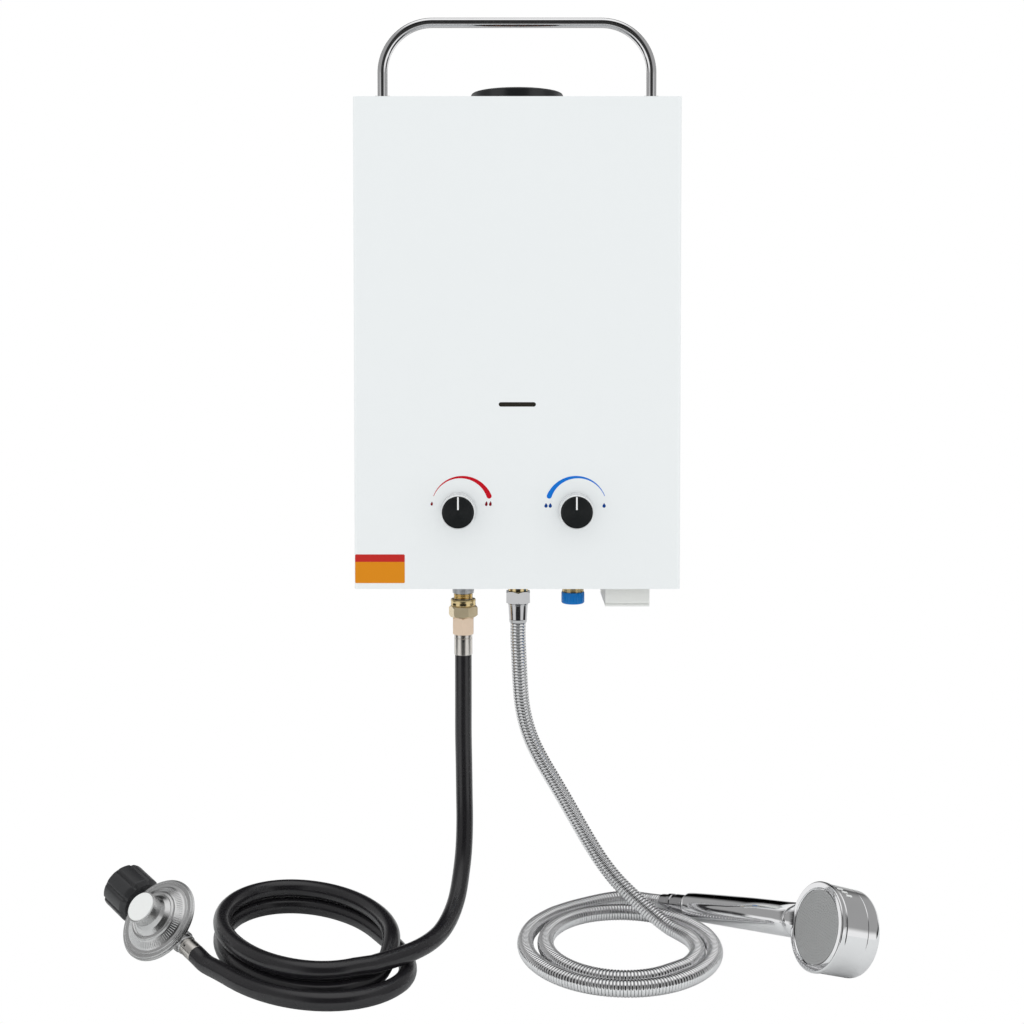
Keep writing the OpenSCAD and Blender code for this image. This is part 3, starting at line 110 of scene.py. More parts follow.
class Graph:
    """A shader node tree that is written by short calls."""

    def __init__(self, tree: bpy.types.NodeTree) -> None:
        """Starts on an empty tree.

        Args:
            tree: the node tree to fill.
        """
        self.tree = tree
        tree.nodes.clear()

    def add(self, kind: str, props: dict | None = None, **inputs: Value) -> bpy.types.Node:
        """Adds a node.

        Args:
            kind: the node's type without its ShaderNode prefix.
            props: attributes to set on the node.
            inputs: sockets to set, by name with _ for a space, to a value or an output socket.

        Returns:
            The new node.
        """
        node = self.tree.nodes.new("ShaderNode" + kind)
        for key, value in (props or {}).items():
            setattr(node, key, value)
        for key, value in inputs.items():
            self.set(node, key.replace("_", " "), value)
        return node

    def set(self, node: bpy.types.Node, name: str | int, value: Value) -> None:
        """Sets or links one input of a node.

        Args:
            node: the node.
            name: the input's name or number.
            value: a plain value, a colour, or an output socket to link from.
        """
        socket = node.inputs[name]
        if isinstance(value, bpy.types.NodeSocket):
            self.tree.links.new(value, socket)
        elif socket.type == "RGBA":
            socket.default_value = (*value, 1.0)
        else:
            socket.default_value = value

    def math(self, op: str, *values: Value, clamp: bool = False) -> bpy.types.NodeSocket:
        """Adds a math node.

        Args:
            op: its operation.
            values: up to three numbers or sockets.
            clamp: whether the result is held between 0 and 1.

        Returns:
            The result's socket.
        """
        node = self.add("Math", {"operation": op, "use_clamp": clamp})
        for i, value in enumerate(values):
            self.set(node, i, value)
        return node.outputs[0]

    def mix(self, factor: Value, a: Value, b: Value, kind: str = "RGBA") -> bpy.types.NodeSocket:
        """Adds a mix node.

        Args:
            factor: 0 gives a and 1 gives b.
            a, b: colours, or numbers where kind is FLOAT.
            kind: RGBA or FLOAT.

        Returns:
            The result's socket.
        """
        node = self.add("Mix", {"data_type": kind})
        first, result = MIX_SOCKETS[kind]
        for i, value in ((0, factor), (first, a), (first + 1, b)):
            self.set(node, i, value)
        return node.outputs[result]

    def step(self, value: Value, low: float, high: float) -> bpy.types.NodeSocket:
        """Adds a smooth step.

        Args:
            value: the number to look at.
            low: where the result leaves 0.
            high: where it reaches 1.

        Returns:
            The result's socket.
        """
        node = self.add("MapRange", {"interpolation_type": "SMOOTHSTEP"}, Value=value)
        self.set(node, 1, low)
        self.set(node, 2, high)
        return node.outputs[0]

    def place(self) -> bpy.types.NodeSocket:
        """Position in object coordinates, which are the CAD's frame."""
        return self.add("TexCoord").outputs["Object"]

    def noise(self, scale: Value, detail: float) -> bpy.types.NodeSocket:
        """Noise value at a point of the object."""
        node = self.add("TexNoise", Vector=self.place(), Scale=scale, Detail=detail)
        return node.outputs[0]


def new_group(name: str, inputs: dict[str, float],
              outputs: dict[str, str]) -> tuple[Graph, bpy.types.Node, bpy.types.Node]:
    """Makes a shader node group.

    Args:
        name: the group's name.
        inputs: the number sockets and their default values.
        outputs: the output sockets and their types, "Float" or "Vector".

    Returns:
        The group's graph, its input node and its output node.
    """
    tree = bpy.data.node_groups.new(name, "ShaderNodeTree")
    graph = Graph(tree)
    for key, value in inputs.items():
        socket = tree.interface.new_socket(name=key, in_out="INPUT", socket_type="NodeSocketFloat")
        socket.default_value = value
    for key, kind in outputs.items():
        tree.interface.new_socket(name=key, in_out="OUTPUT", socket_type="NodeSocket" + kind)
    return graph, tree.nodes.new("NodeGroupInput"), tree.nodes.new("NodeGroupOutput")


class Effects:
    """Shader node groups that several finishes share. Each is built once."""

    EDGE_SAMPLES = 4
    EDGE_GAIN = 14.0

    def __init__(self) -> None:
        """Builds the groups."""
        self.grain = self._grain()
        self.wear = self._wear()
        self.smudge = self._smudge()

    @staticmethod
    def _grain() -> bpy.types.NodeTree:
        """Makes the fine surface relief, which outputs a bumped normal.

        Returns:
            The group.
        """
        graph, inp, out = new_group(
            "fine_grain", {"Scale": 900.0, "Depth": 0.1, "Distance": 0.0002}, {"Normal": "Vector"})
        noise = graph.noise(inp.outputs["Scale"], 3.0)
        bump = graph.add("Bump", Strength=inp.outputs["Depth"], Distance=inp.outputs["Distance"],
                         Height=noise)
        graph.set(out, "Normal", bump.outputs[0])
        return graph.tree

    def _wear(self) -> bpy.types.NodeTree:
        """Makes the worn edges, whose mask is 1 where the surface turns sharply.

        Returns:
            The group.
        """
        graph, inp, out = new_group(
            "edge_wear", {"Radius": 0.0006, "Amount": 0.5, "Scale": 300.0}, {"Mask": "Float"})
        bevel = graph.add("Bevel", {"samples": self.EDGE_SAMPLES}, Radius=inp.outputs["Radius"])
        geometry = graph.add("NewGeometry")
        dot = graph.add("VectorMath", {"operation": "DOT_PRODUCT"})
        graph.set(dot, 0, bevel.outputs[0])
        graph.set(dot, 1, geometry.outputs["Normal"])
        edge = graph.math("SUBTRACT", 1.0, dot.outputs["Value"])
        rough = graph.math("MULTIPLY", edge, graph.noise(inp.outputs["Scale"], 4.0))
        strong = graph.math("MULTIPLY", rough, self.EDGE_GAIN, clamp=True)
        graph.set(out, "Mask", graph.math("MULTIPLY", strong, inp.outputs["Amount"]))
        return graph.tree

    @staticmethod
    def _smudge() -> bpy.types.NodeTree:
        """Makes large soft unevenness, a roughness between Low and High.

        Returns:
            The group.
        """
        graph, inp, out = new_group(
            "smudge", {"Scale": 30.0, "Low": 0.1, "High": 0.2}, {"Roughness": "Float"})
        noise = graph.noise(inp.outputs["Scale"], 5.0)
        span = graph.math("SUBTRACT", inp.outputs["High"], inp.outputs["Low"])
        graph.set(out, "Roughness", graph.math("MULTIPLY_ADD", noise, span, inp.outputs["Low"]))
        return graph.tree


class Pattern(Enum):
    """Relief that a finish carries besides its grain."""

    NONE = "none"
    CAST = "cast"


@dataclass(frozen=True)
class Finish:
    """One finish, with the node network that makes it.

    The roughness lies between low and high. grain, depth and distance are the fine relief's
    scale, strength and height, tint and tint_scale the colour's unevenness, wear the share of
    worn edges, clear the transmission and gloss the specular level.
    """

    name: str
    colour: Colour
    metallic: float = 0.0
    low: float = 0.2
    high: float = 0.3
    grain: float = 900.0
    depth: float = 0.05
    distance: float = 0.0001
    tint: float = 0.04
    tint_scale: float = 60.0
    wear: float = 0.0
    wear_colour: Colour = (0.6, 0.6, 0.6)
    coat: float = 0.0
    coat_roughness: float = 0.05
    clear: float = 0.0
    gloss: float = 0.5
    pattern: Pattern = Pattern.NONE

    def material(self, effects: Effects) -> bpy.types.Material:
        """Builds the material.

        Args:
            effects: the shared node groups.

        Returns:
            The material.
        """
        made = bpy.data.materials.new(self.name)
        made.use_nodes = True
        self.shade(Graph(made.node_tree), effects)
        return made

    def shade(self, graph: Graph, effects: Effects) -> None:
        """Fills the material's tree.

        Args:
            graph: the tree's graph.
            effects: the shared node groups.
        """
        shader = graph.add("BsdfPrincipled")
        output = graph.add("OutputMaterial")
        graph.set(output, "Surface", shader.outputs[0])
        patch = graph.noise(self.tint_scale, 4.0)
        shift = graph.math("MULTIPLY", graph.math("SUBTRACT", patch, 0.5), self.tint * 2)
        hsv = graph.add("HueSaturation", Color=self.colour,
                        Value=graph.math("ADD", 1.0, shift))
        colour = hsv.outputs[0]
        if self.wear > 0:
            mask = graph.add("Group", {"node_tree": effects.wear}, Amount=self.wear)
            colour = graph.mix(mask.outputs[0], colour, self.wear_colour)
        smudge = graph.add("Group", {"node_tree": effects.smudge}, Low=self.low, High=self.high)
        grain = graph.add("Group", {"node_tree": effects.grain}, Scale=self.grain,
                          Depth=self.depth, Distance=self.distance)
        for name, value in (
                ("Base Color", colour), ("Metallic", self.metallic),
                ("Roughness", smudge.outputs[0]),
                ("Normal", self.relief(graph, grain.outputs["Normal"])),
                ("Specular IOR Level", self.gloss), ("Coat Weight", self.coat),
                ("Coat Roughness", self.coat_roughness), ("Transmission Weight", self.clear)):
            graph.set(shader, name, value)

    def relief(self, graph: Graph, normal: bpy.types.NodeSocket) -> bpy.types.NodeSocket:
        """Adds the pattern's relief on top of the grain.

        Args:
            graph: the material's graph.
            normal: the grain's normal.

        Returns:
            The normal with both.
        """
        if self.pattern is Pattern.NONE:
            return normal
        lumps = graph.noise(700.0, 5.0)
        return graph.add("Bump", Strength=0.35, Distance=0.0003, Height=lumps,
                         Normal=normal).outputs[0]


# --------------------------------------------------------------------------- mesh helpers
WELD = 1e-7  # points nearer than this, in metres, become one


def polar(r: float, a: float, h: float) -> Vector:
    """Point at radius r, angle a in radians and height h round local Z."""
    return Vector((r * math.cos(a), r * math.sin(a), h))


def tube_faces(rings: int, sides: int) -> list[list[int]]:
    """Joins rings of points, one after the other, by quads.

    Args:
        rings: how many rings there are.
        sides: how many points each has.

    Returns:
        The faces, as lists of point numbers.
    """
    return [[i * sides + j, i * sides + (j + 1) % sides, (i + 1) * sides + (j + 1) % sides,
             (i + 1) * sides + j] for i in range(rings - 1) for j in range(sides)]


def mesh_piece(name: str, verts: list[Vector], faces: list[list[int]],
               material: bpy.types.Material, body: str, sharp: float = 35.0) -> bpy.types.Object:
    """Makes a mesh object from points in millimetres, smooth but for sharp edges.

    Args:
        name: the piece's name.
        verts: points in millimetres.
        faces: lists of point numbers.
        material: its material.
        body: the CAD body it rides on.
        sharp: edges that turn more than this many degrees stay sharp.

    Returns:
        The object.
    """
    mesh = bpy.data.meshes.new(name)
    mesh.from_pydata([Vector(v) * MM for v in verts], [], faces)
    bm = bmesh.new()
    bm.from_mesh(mesh)
    bmesh.ops.remove_doubles(bm, verts=bm.verts, dist=WELD)
    bmesh.ops.recalc_face_normals(bm, faces=bm.faces)
    for face in bm.faces:
        face.smooth = True
    bm.to_mesh(mesh)
    bm.free()
    mesh.set_sharp_from_angle(angle=math.radians(sharp))
    mesh.materials.append(material)
    piece = bpy.data.objects.new(name, mesh)
    bpy.context.scene.collection.objects.link(piece)
    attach(piece, body)
    return piece


def frame_on(origin: Point | Vector, z_axis: Point | Vector,
             x_hint: Point = (1, 0, 0)) -> Matrix:
    """Makes the frame of a piece from its axis.

    Args:
        origin: the frame's origin, in millimetres.
        z_axis: the direction of local Z.
        x_hint: a direction that local X follows as far as local Z lets it.

    Returns:
        The frame's matrix.
    """
    z = Vector(z_axis).normalized()
    x = Vector(x_hint)
    x = (x - z * x.dot(z)).normalized()
    y = z.cross(x)
    return Matrix(((x[0], y[0], z[0], origin[0]), (x[1], y[1], z[1], origin[1]),
                   (x[2], y[2], z[2], origin[2]), (0, 0, 0, 1)))


def fillet(profile: Profile, radii: dict[int, float], steps: int = 6) -> Profile:
    """Rounds chosen corners of a profile.

    Args:
        profile: (radius, height) corners.
        radii: rounding radius by corner number.
        steps: points on each rounding.

    Returns:
        The profile with those corners replaced by arcs.
    """
    most = 0.49  # share of a side that one rounding may take
    out = []
    for i, p in enumerate(profile):
        r = radii.get(i, 0.0)
        if not r or i in (0, len(profile) - 1):
            out.append(p)
            continue
        here = Vector(p)
        a, b = Vector(profile[i - 1]) - here, Vector(profile[i + 1]) - here
        cut = min(r / math.tan(a.angle(b) / 2), a.length * most, b.length * most)
        start, end = here + a.normalized() * cut, here + b.normalized() * cut
        for k in range(steps + 1):
            t = k / steps
            q = start.lerp(here, t).lerp(here.lerp(end, t), t)
            out.append((q[0], q[1]))
    return out


def lathe(name: str, profile: Profile, place: Matrix, material: bpy.types.Material,
          body: str = ROOT, sides: int = 96, sharp: float = 30.0,
          flutes: tuple[int, float, float] = (0, 0.0, 1e9)) -> bpy.types.Object:
    """Makes a turned piece.

    Args:
        name: the piece's name.
        profile: (radius, height) points in millimetres, from one end to the other.
        place: where the turning axis (local Z) is.
        material: its material.
        body: the CAD body it rides on.
        sides: points round the axis.
        sharp: edges that turn more than this many degrees stay sharp.
        flutes: how many grooves run along the axis, how deep, and the least radius with them.

    Returns:
        The object.
    """
    verts = []
    count, deep, least = flutes
    for r, h in profile:
        for j in range(sides):
            a = TAU * j / sides
            wave = max(0.0, math.cos(count * a)) ** 6 * deep if r >= least else 0.0
            verts.append(place @ polar(r - wave, a, h))
    return mesh_piece(name, verts, tube_faces(len(profile), sides), material, body, sharp)


def hexagon(name: str, across: float, low: float, high: float, bore: float, place: Matrix,
            material: bpy.types.Material, body: str, chamfer: float) -> bpy.types.Object:
    """Makes a hexagon nut with its corners chamfered by a cone at both ends.

    Args:
        name: the piece's name.
        across: radius over the corners.
        low, high: ends along local Z.
        bore: radius of the hole.
        place: the nut's frame.
        material: its material.
        body: the CAD body it rides on.
        chamfer: how far the corners are cut back along the axis.

    Returns:
        The object.
    """
    flat = across * math.cos(math.pi / 6)
    face = flat - 0.3
    sides, sharp = 48, 18.0
    rows = ((bore, low, 0), (face, low, 0), (flat, low, 1), (flat, high, -1), (face, high, 0),
            (bore, high, 0), (bore, low, 0))
    verts = []
    for r, h, sign in rows:
        for j in range(sides):
            a = TAU * j / sides
            over = flat / math.cos((a % (math.pi / 3)) - math.pi / 6) if sign else r
            fall = chamfer * (over - flat) / (across - flat)
            verts.append(place @ polar(over, a, h + sign * fall))
    return mesh_piece(name, verts, tube_faces(len(rows), sides), material, body, sharp)


# --------------------------------------------------------------------------- routes
def curve_through(points: list[Point], steps: int) -> list[Vector]:
    """Draws a Catmull-Rom curve through points.

    Args:
        points: the points.
        steps: steps between two neighbours.

    Returns:
        The curve's points.
    """
    pts = [Vector(p) for p in points]
    ends = [2 * pts[0] - pts[1], *pts, 2 * pts[-1] - pts[-2]]
    out = []
    for i in range(len(pts) - 1):
        a, b, c, d = ends[i: i + 4]
        for k in range(steps):
            t = k / steps
            out.append(0.5 * (2 * b + (c - a) * t + (2 * a - 5 * b + 4 * c - d) * t * t
                              + (3 * b - a - 3 * c + d) * t ** 3))
    return out + [pts[-1]]


def evenly(points: list[Vector], count: int) -> list[Vector]:
    """Divides a line of points into equal steps.

    Args:
        points: the line.
        count: how many steps.

    Returns:
        count + 1 points along the line.
    """
    runs = [0.0]
    for a, b in zip(points, points[1:]):
        runs.append(runs[-1] + (b - a).length)
    out, i = [], 0
    for k in range(count + 1):
        d = runs[-1] * k / count
        while i < len(points) - 2 and runs[i + 1] < d:
            i += 1
        span = runs[i + 1] - runs[i]
        out.append(points[i].lerp(points[i + 1], (d - runs[i]) / span if span else 0.0))
    return out


def length_of(points: list[Vector]) -> float:
    """Length along a line of points."""
    return sum((b - a).length for a, b in zip(points, points[1:]))


def floor_point(x: float, y: float, h: float) -> Point:
    """A point h millimetres above the surface that the hoses lie on."""
    return (x, y, FLOOR_Z + h)


@dataclass
class Regulator:
    """Frame of the regulator: its joint face, the bonnet's axis and the flow's direction."""

    centre: Point = floor_point(-317.8, -143.4, 29.3)
    tilt: float = 48.3
    azimuth: float = 235.9
    turn: float = 72.6
    flow_drop: float = 9.0
    outlet: float = 39.0
    ferrule: float = 15.0
    nut_x: float = -37.5

    def matrix(self) -> Matrix:
        """Makes the regulator's frame.

        Returns:
            The frame, with local Z along the bonnet's axis and local X along the flow.
        """
        return (Matrix.Translation(Vector(self.centre))
                @ Matrix.Rotation(math.radians(self.azimuth), 4, "Z")
                @ Matrix.Rotation(math.radians(self.tilt), 4, "Y")
                @ Matrix.Rotation(math.radians(self.turn), 4, "Z"))

    def flow(self) -> Vector:
        """Unit vector from the tank nut towards the hose."""
        return self.matrix().to_3x3() @ Vector((1, 0, 0))

    def ferrule_tip(self) -> Vector:
        """Where the hose enters the regulator's ferrule."""
        return self.matrix() @ Vector((self.outlet + self.ferrule, 0, -self.flow_drop))


@dataclass
class Grip:
    """Frame of the handset: the hose's cone, the head's face and its normal."""

    cone: Point = floor_point(137.8, -55.8, 10.8)
    head: Point = floor_point(253.1, -195.2, 43.6)
    normal: Point = (-0.896, -0.327, 0.3)
    sink: float = 18.0
    lift: float = 5.0

    def aim(self) -> Vector:
        """Point inside the head that the handle's axis runs to."""
        n = Vector(self.normal).normalized()
        return Vector(self.head) - self.sink * n + Vector((0, 0, self.lift))

    def along(self) -> Vector:
        """Unit vector from the hose to the head."""
        return (self.aim() - Vector(self.cone)).normalized()


def wave(a: float, low: float, high: float) -> float:
    """Half a cosine wave, from 1 at low to -1 at high and level outside."""
    return math.cos(math.pi * (min(max(a, low), high) - low) / (high - low))


@dataclass
class CoiledHose:
    """A hose that hangs from its port and lies in turns on the floor.

    Angles are in degrees round the coil's centre and fall along the hose. It sinks by layer
    between the two angles of sinks, and the turn widens by spread between those of widens.
    """

    radius: float
    drop: tuple[Point, ...]
    tail: tuple[Point, ...]
    centre: tuple[float, float]
    half_a: float
    half_b: float
    start: float
    end: float
    spread: float
    widens: tuple[float, float]
    sinks: tuple[float, float] = (-1.0, 0.0)
    layer: float = 0.0
    skew: float = 0.0
    gap: float = 0.0

    def coil_at(self, a: float) -> Vector:
        """Point of the coil's centre line.

        Args:
            a: the angle.

        Returns:
            The point.
        """
        g = self.spread * ((1 + wave(a, *self.widens)) / 2)
        up = (1 - wave(a, *self.sinks)) / 2
        return Vector(floor_point(
            self.centre[0] + (self.half_a + g) * math.cos(math.radians(a)),
            self.centre[1] + (self.half_b + g) * math.sin(math.radians(a - self.skew)),
            self.radius + self.gap + self.layer * up))

    def hanging(self, step: float, smooth: int) -> tuple[Vector, list[Vector]]:
        """Draws the hanging part, down to two radii before the coil.

        Args:
            step: angle from the coil's start that shows its direction there.
            smooth: steps between two points.

        Returns:
            The part's end and its points.
        """
        first = self.coil_at(self.start)
        ahead = (self.coil_at(self.start + step) - first).normalized()
        join = first - 2 * self.radius * ahead
        return join, curve_through([floor_point(*p) for p in self.drop] + [tuple(join)], smooth)


@dataclass
class GasHose(CoiledHose):
    """The black gas hose, from the inlet's ferrule over its coil to the regulator."""

    regulator: Regulator = field(default_factory=Regulator)
    radius: float = 7.75
    drop: tuple[Point, ...] = (
        (-50, -65, 249.1), (-50, -65, 232), (-50, -65, 205), (-50, -65.5, 175),
        (-49.5, -67, 148), (-49, -71, 120), (-48.5, -78, 96), (-49, -89, 74), (-51, -103, 56),
        (-54, -120, 41), (-59, -138, 31), (-66, -159, 25.5), (-75, -179, 24), (-87.5, -198, 24),
        (-103, -213, 24))
    tail: tuple[Point, ...] = ((-255, -198.6, 7.8),)
    centre: tuple[float, float] = (-187, -146)
    half_a: float = 78.0
    half_b: float = 93.0
    skew: float = 20.0
    start: float = 312.0
    end: float = -485.0
    spread: float = 20.0
    widens: tuple[float, float] = (-385, -320)
    sinks: tuple[float, float] = (-38, 12)
    layer: float = 16.25
    gap: float = 0.05
    steps: int = 53
    fine: int = 4
    smooth: int = 5

    def line(self) -> list[Vector]:
        """Draws the whole centre line.

        Returns:
            Its points.
        """
        step = (self.end - self.start) / self.steps
        coil = [self.coil_at(self.start + step * i / self.fine)
                for i in range(self.steps * self.fine + 1)]
        drop = self.hanging(step, self.smooth)[1]
        flow = self.regulator.flow()
        tip = self.regulator.ferrule_tip()
        tail = curve_through([tuple(coil[-1])] + [floor_point(*p) for p in self.tail]
                             + [tuple(tip + 2 * self.radius * flow), tuple(tip)], self.smooth)
        return drop + coil + tail[1:]

    def build(self, material: bpy.types.Material) -> bpy.types.Object:
        """Args:
            material: its rubber.

        Returns:
            The hose.
        """
        points = self.line()
        curve = bpy.data.curves.new("gas_hose_whole", "CURVE")
        curve.dimensions = "3D"
        curve.bevel_depth = self.radius * MM
        curve.bevel_resolution = 8
        spline = curve.splines.new("POLY")
        spline.points.add(len(points) - 1)
        for p, q in zip(spline.points, points):
            p.co = (*(q * MM), 1.0)
        spline.use_smooth = True
        curve.materials.append(material)
        hose = bpy.data.objects.new("gas_hose_whole", curve)
        bpy.context.scene.collection.objects.link(hose)
        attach(hose, ROOT)
        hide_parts("gas_hose", "gas_hose_coil")
        log.info("gas hose %.4f m", length_of(points) * MM)
        return hose


@dataclass
class ShowerHose(CoiledHose):
    """The bright ribbed shower hose, from the outlet over its coil to the handset's cone."""

    radius: float = 7.25
    groove: float = 6.6
    pitch: float = 2.8
    sides: int = 20
    grip: Grip = field(default_factory=Grip)
    drop: tuple[Point, ...] = (
        (1, -65, 279), (1, -65, 264), (2, -65, 242), (3, -65, 222), (4.5, -65, 204),
        (8, -65.5, 186), (14, -66, 168), (23, -67, 150), (34, -68, 131.5), (45, -69.5, 113),
        (55.5, -71.5, 95), (66, -74.5, 77.5), (77, -79, 61), (89, -84.5, 46.5),
        (102, -91, 34.5), (115, -97.5, 24.5), (127, -104, 16), (137.5, -111.4, 10.3),
        (147, -120.3, 7.9), (154, -131.3, 7.3), (157.2, -143.7, 7.25), (157.8, -156.8, 7.25),
        (155.4, -169.5, 7.25), (150.5, -181, 7.25))
    tail: tuple[Point, ...] = (
        (42, -68.8, 7.25), (52.2, -60.6, 7.25), (62.9, -53.5, 7.25), (73.6, -47, 7.25),
        (83.5, -41.6, 7.25), (93.5, -37.6, 7.3), (104, -36, 7.3), (114.6, -37.7, 7.3))
    centre: tuple[float, float] = (91, -143)
    half_a: float = 66.0
    half_b: float = 73.0
    start: float = -50.0
    end: float = -585.0
    spread: float = 18.0
    widens: tuple[float, float] = (-390, -255)
    steps: int = 60
    smooth: int = 4

    def line(self) -> list[Vector]:
        """Draws the whole centre line.

        Returns:
            Its points.
        """
        step = (self.end - self.start) / self.steps
        coil = [self.coil_at(self.start + step * i) for i in range(0, self.steps + 1, 2)]
        join, drop = self.hanging(step, self.smooth)
        along = self.grip.along()
        cone = Vector(self.grip.cone)
        rest = curve_through([tuple(join)] + [tuple(p) for p in coil]
                             + [floor_point(*p) for p in self.tail]
                             + [tuple(cone - 2 * self.radius * along), tuple(cone)], self.smooth)
        return drop + rest[1:]

    def build(self, material: bpy.types.Material,
              groove_shade_material: bpy.types.Material) -> bpy.types.Object:
        """Args:
            material: the ribs' metal.
            groove_shade_material: dark material on the floor of each groove, painted shade between
                the ribs.

        Returns:
            The hose.
        """
        route = self.line()
        whole = length_of(route)
        ribs = round(whole / self.pitch)
        shape = ((0.0, self.groove), (0.12, self.groove), (0.2, self.radius - 0.2),
                 (0.4, self.radius), (0.72, self.radius), (0.92, self.radius - 0.2))
        fine = evenly(route, ribs * self.smooth)
        path = evenly(route, ribs)
        verts = []
        normal = Vector((1, 0.2, 0))
        rings = 0
        for rib in range(ribs):
            for share, r in shape:
                at = (rib + share) * self.smooth
                i = min(int(at), len(fine) - 2)
                centre = fine[i].lerp(fine[i + 1], at - i)
                tangent = (fine[min(i + 2, len(fine) - 1)] - fine[max(i - 1, 0)]).normalized()
                normal = (normal - tangent * normal.dot(tangent)).normalized()
                side = tangent.cross(normal)
                for j in range(self.sides):
                    a = TAU * j / self.sides
                    verts.append(centre + r * (math.cos(a) * normal + math.sin(a) * side))
                rings += 1
        faces = tube_faces(rings, self.sides)
        faces.append(list(range(self.sides - 1, -1, -1)))
        faces.append([(rings - 1) * self.sides + j for j in range(self.sides)])
        hose = mesh_piece("shower_hose_whole", verts, faces, material, ROOT, 80.0)
        hose.data.materials.append(groove_shade_material)
        # The faces at the floor of each groove take the second, dark material: painted shade
        # between the ribs.
        for face in hose.data.polygons[: (rings - 1) * self.sides]:
            face.material_index = int(face.index // self.sides % len(shape) == 0)
        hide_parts("shower_hose", "shower_hose_coil")
        log.info("shower hose %.4f m, %d ribs", whole * MM, ribs)
        return hose


# --------------------------------------------------------------------------- studio
@dataclass
class Studio:
    """Camera, floor and light. The floor lies floor_gap millimetres under the hoses."""

    camera_at: Point = (-0.0058, -1.4444, -0.1915)
    pitch: float = 88.0
    lens: float = 52.38
    sensor: float = 36.0
    clip: tuple[float, float] = (0.01, 100.0)
    shift_x: float = 0.0012
    shift_y: float = -0.116
    soft_light: Colour = (1.0, 1.02, 1.02)
    floor_half: float = 0.9
    floor_front: float = -0.55
    floor_rear: float = 0.45
    floor_gap: float = 0.05
    floor_tone: Colour = (0.9, 0.9, 0.9)
    floor_mirrored: Colour = (0.78, 0.78, 0.78)

    def build(self) -> None:
        """Makes the whole set."""
        scene = bpy.context.scene
        scene.view_settings.view_transform = "Standard"
        self._camera(scene)
        self._world(scene)
        self._floor()

    def _camera(self, scene: bpy.types.Scene) -> None:
        """Puts the camera where the photograph was taken.

        Args:
            scene: the scene.
        """
        data = bpy.data.cameras.new("camera")
        data.lens = self.lens
        data.sensor_width = self.sensor
        data.shift_x, data.shift_y = self.shift_x, self.shift_y
        data.clip_start, data.clip_end = self.clip
        camera = bpy.data.objects.new("camera", data)
        camera.location = self.camera_at
        camera.rotation_euler = (math.radians(self.pitch), 0, 0)
        scene.collection.objects.link(camera)
        scene.camera = camera

    def _world(self, scene: bpy.types.Scene) -> None:
        """White to the camera, soft light to matt surfaces, dark flags in mirror surfaces.

        Args:
            scene: the scene.
        """
        world = bpy.data.worlds.new("studio")
        world.use_nodes = True
        scene.world = world
        graph = Graph(world.node_tree)
        path = graph.add("LightPath")
        split = graph.add("SeparateXYZ", Vector=graph.add("TexCoord").outputs["Generated"])
        x, y, z = (split.outputs[i] for i in range(3))
        away = graph.math("ABSOLUTE", x)
        side = graph.step(away, 0.3, 0.6)
        shade = graph.math("MULTIPLY_ADD", side, 0.46, 0.42)
        for mask, value in (
                (graph.step(away, 0.9, 0.96), 0.05),  # flags at both ends
                (graph.step(z, 0.06, 0.22), graph.math("MULTIPLY", side, 0.34)),  # upper band
                (graph.step(z, 0.74, 0.93), 0.95),  # softbox overhead
                (graph.step(graph.math("MULTIPLY", y, -1.0), 0.8, 0.92), 0.03)):  # dark front
            shade = graph.mix(mask, shade, value, "FLOAT")
        glossy = graph.math("MAXIMUM", path.outputs["Is Glossy Ray"],
                            path.outputs["Is Transmission Ray"])
        soft = graph.mix(glossy, self.soft_light, graph.mix(shade, (0, 0, 0), (1, 1, 1)))
        seen = graph.mix(path.outputs["Is Camera Ray"], soft, (1.0, 1.0, 1.0))
        background = graph.add("Background", Color=seen, Strength=1.0)
        output = graph.add("OutputWorld")
        graph.set(output, "Surface", background.outputs[0])

    def _floor(self) -> None:
        """Lays a pale floor just under the hoses, white to the camera."""
        half, front, rear = self.floor_half, self.floor_front, self.floor_rear
        mesh = bpy.data.meshes.new("floor")
        z = (FLOOR_Z - self.floor_gap) * MM
        mesh.from_pydata([(-half, front, z), (half, front, z), (half, rear, z), (-half, rear, z)],
                         [], [[0, 1, 2, 3]])
        material = bpy.data.materials.new("floor_white")
        material.use_nodes = True
        graph = Graph(material.node_tree)
        path = graph.add("LightPath")
        tone = graph.mix(path.outputs["Is Glossy Ray"], self.floor_tone, self.floor_mirrored)
        diffuse = graph.add("BsdfDiffuse", Color=tone)
        white = graph.add("Emission", Color=(1.0, 1.0, 1.0), Strength=1.0)
        mix = graph.add("MixShader")
        graph.set(mix, 0, path.outputs["Is Camera Ray"])
        graph.set(mix, 1, diffuse.outputs[0])
        graph.set(mix, 2, white.outputs[0])
        output = graph.add("OutputMaterial")
        graph.set(output, "Surface", mix.outputs[0])
        mesh.materials.append(material)
        floor = bpy.data.objects.new("floor", mesh)
        bpy.context.scene.collection.objects.link(floor)


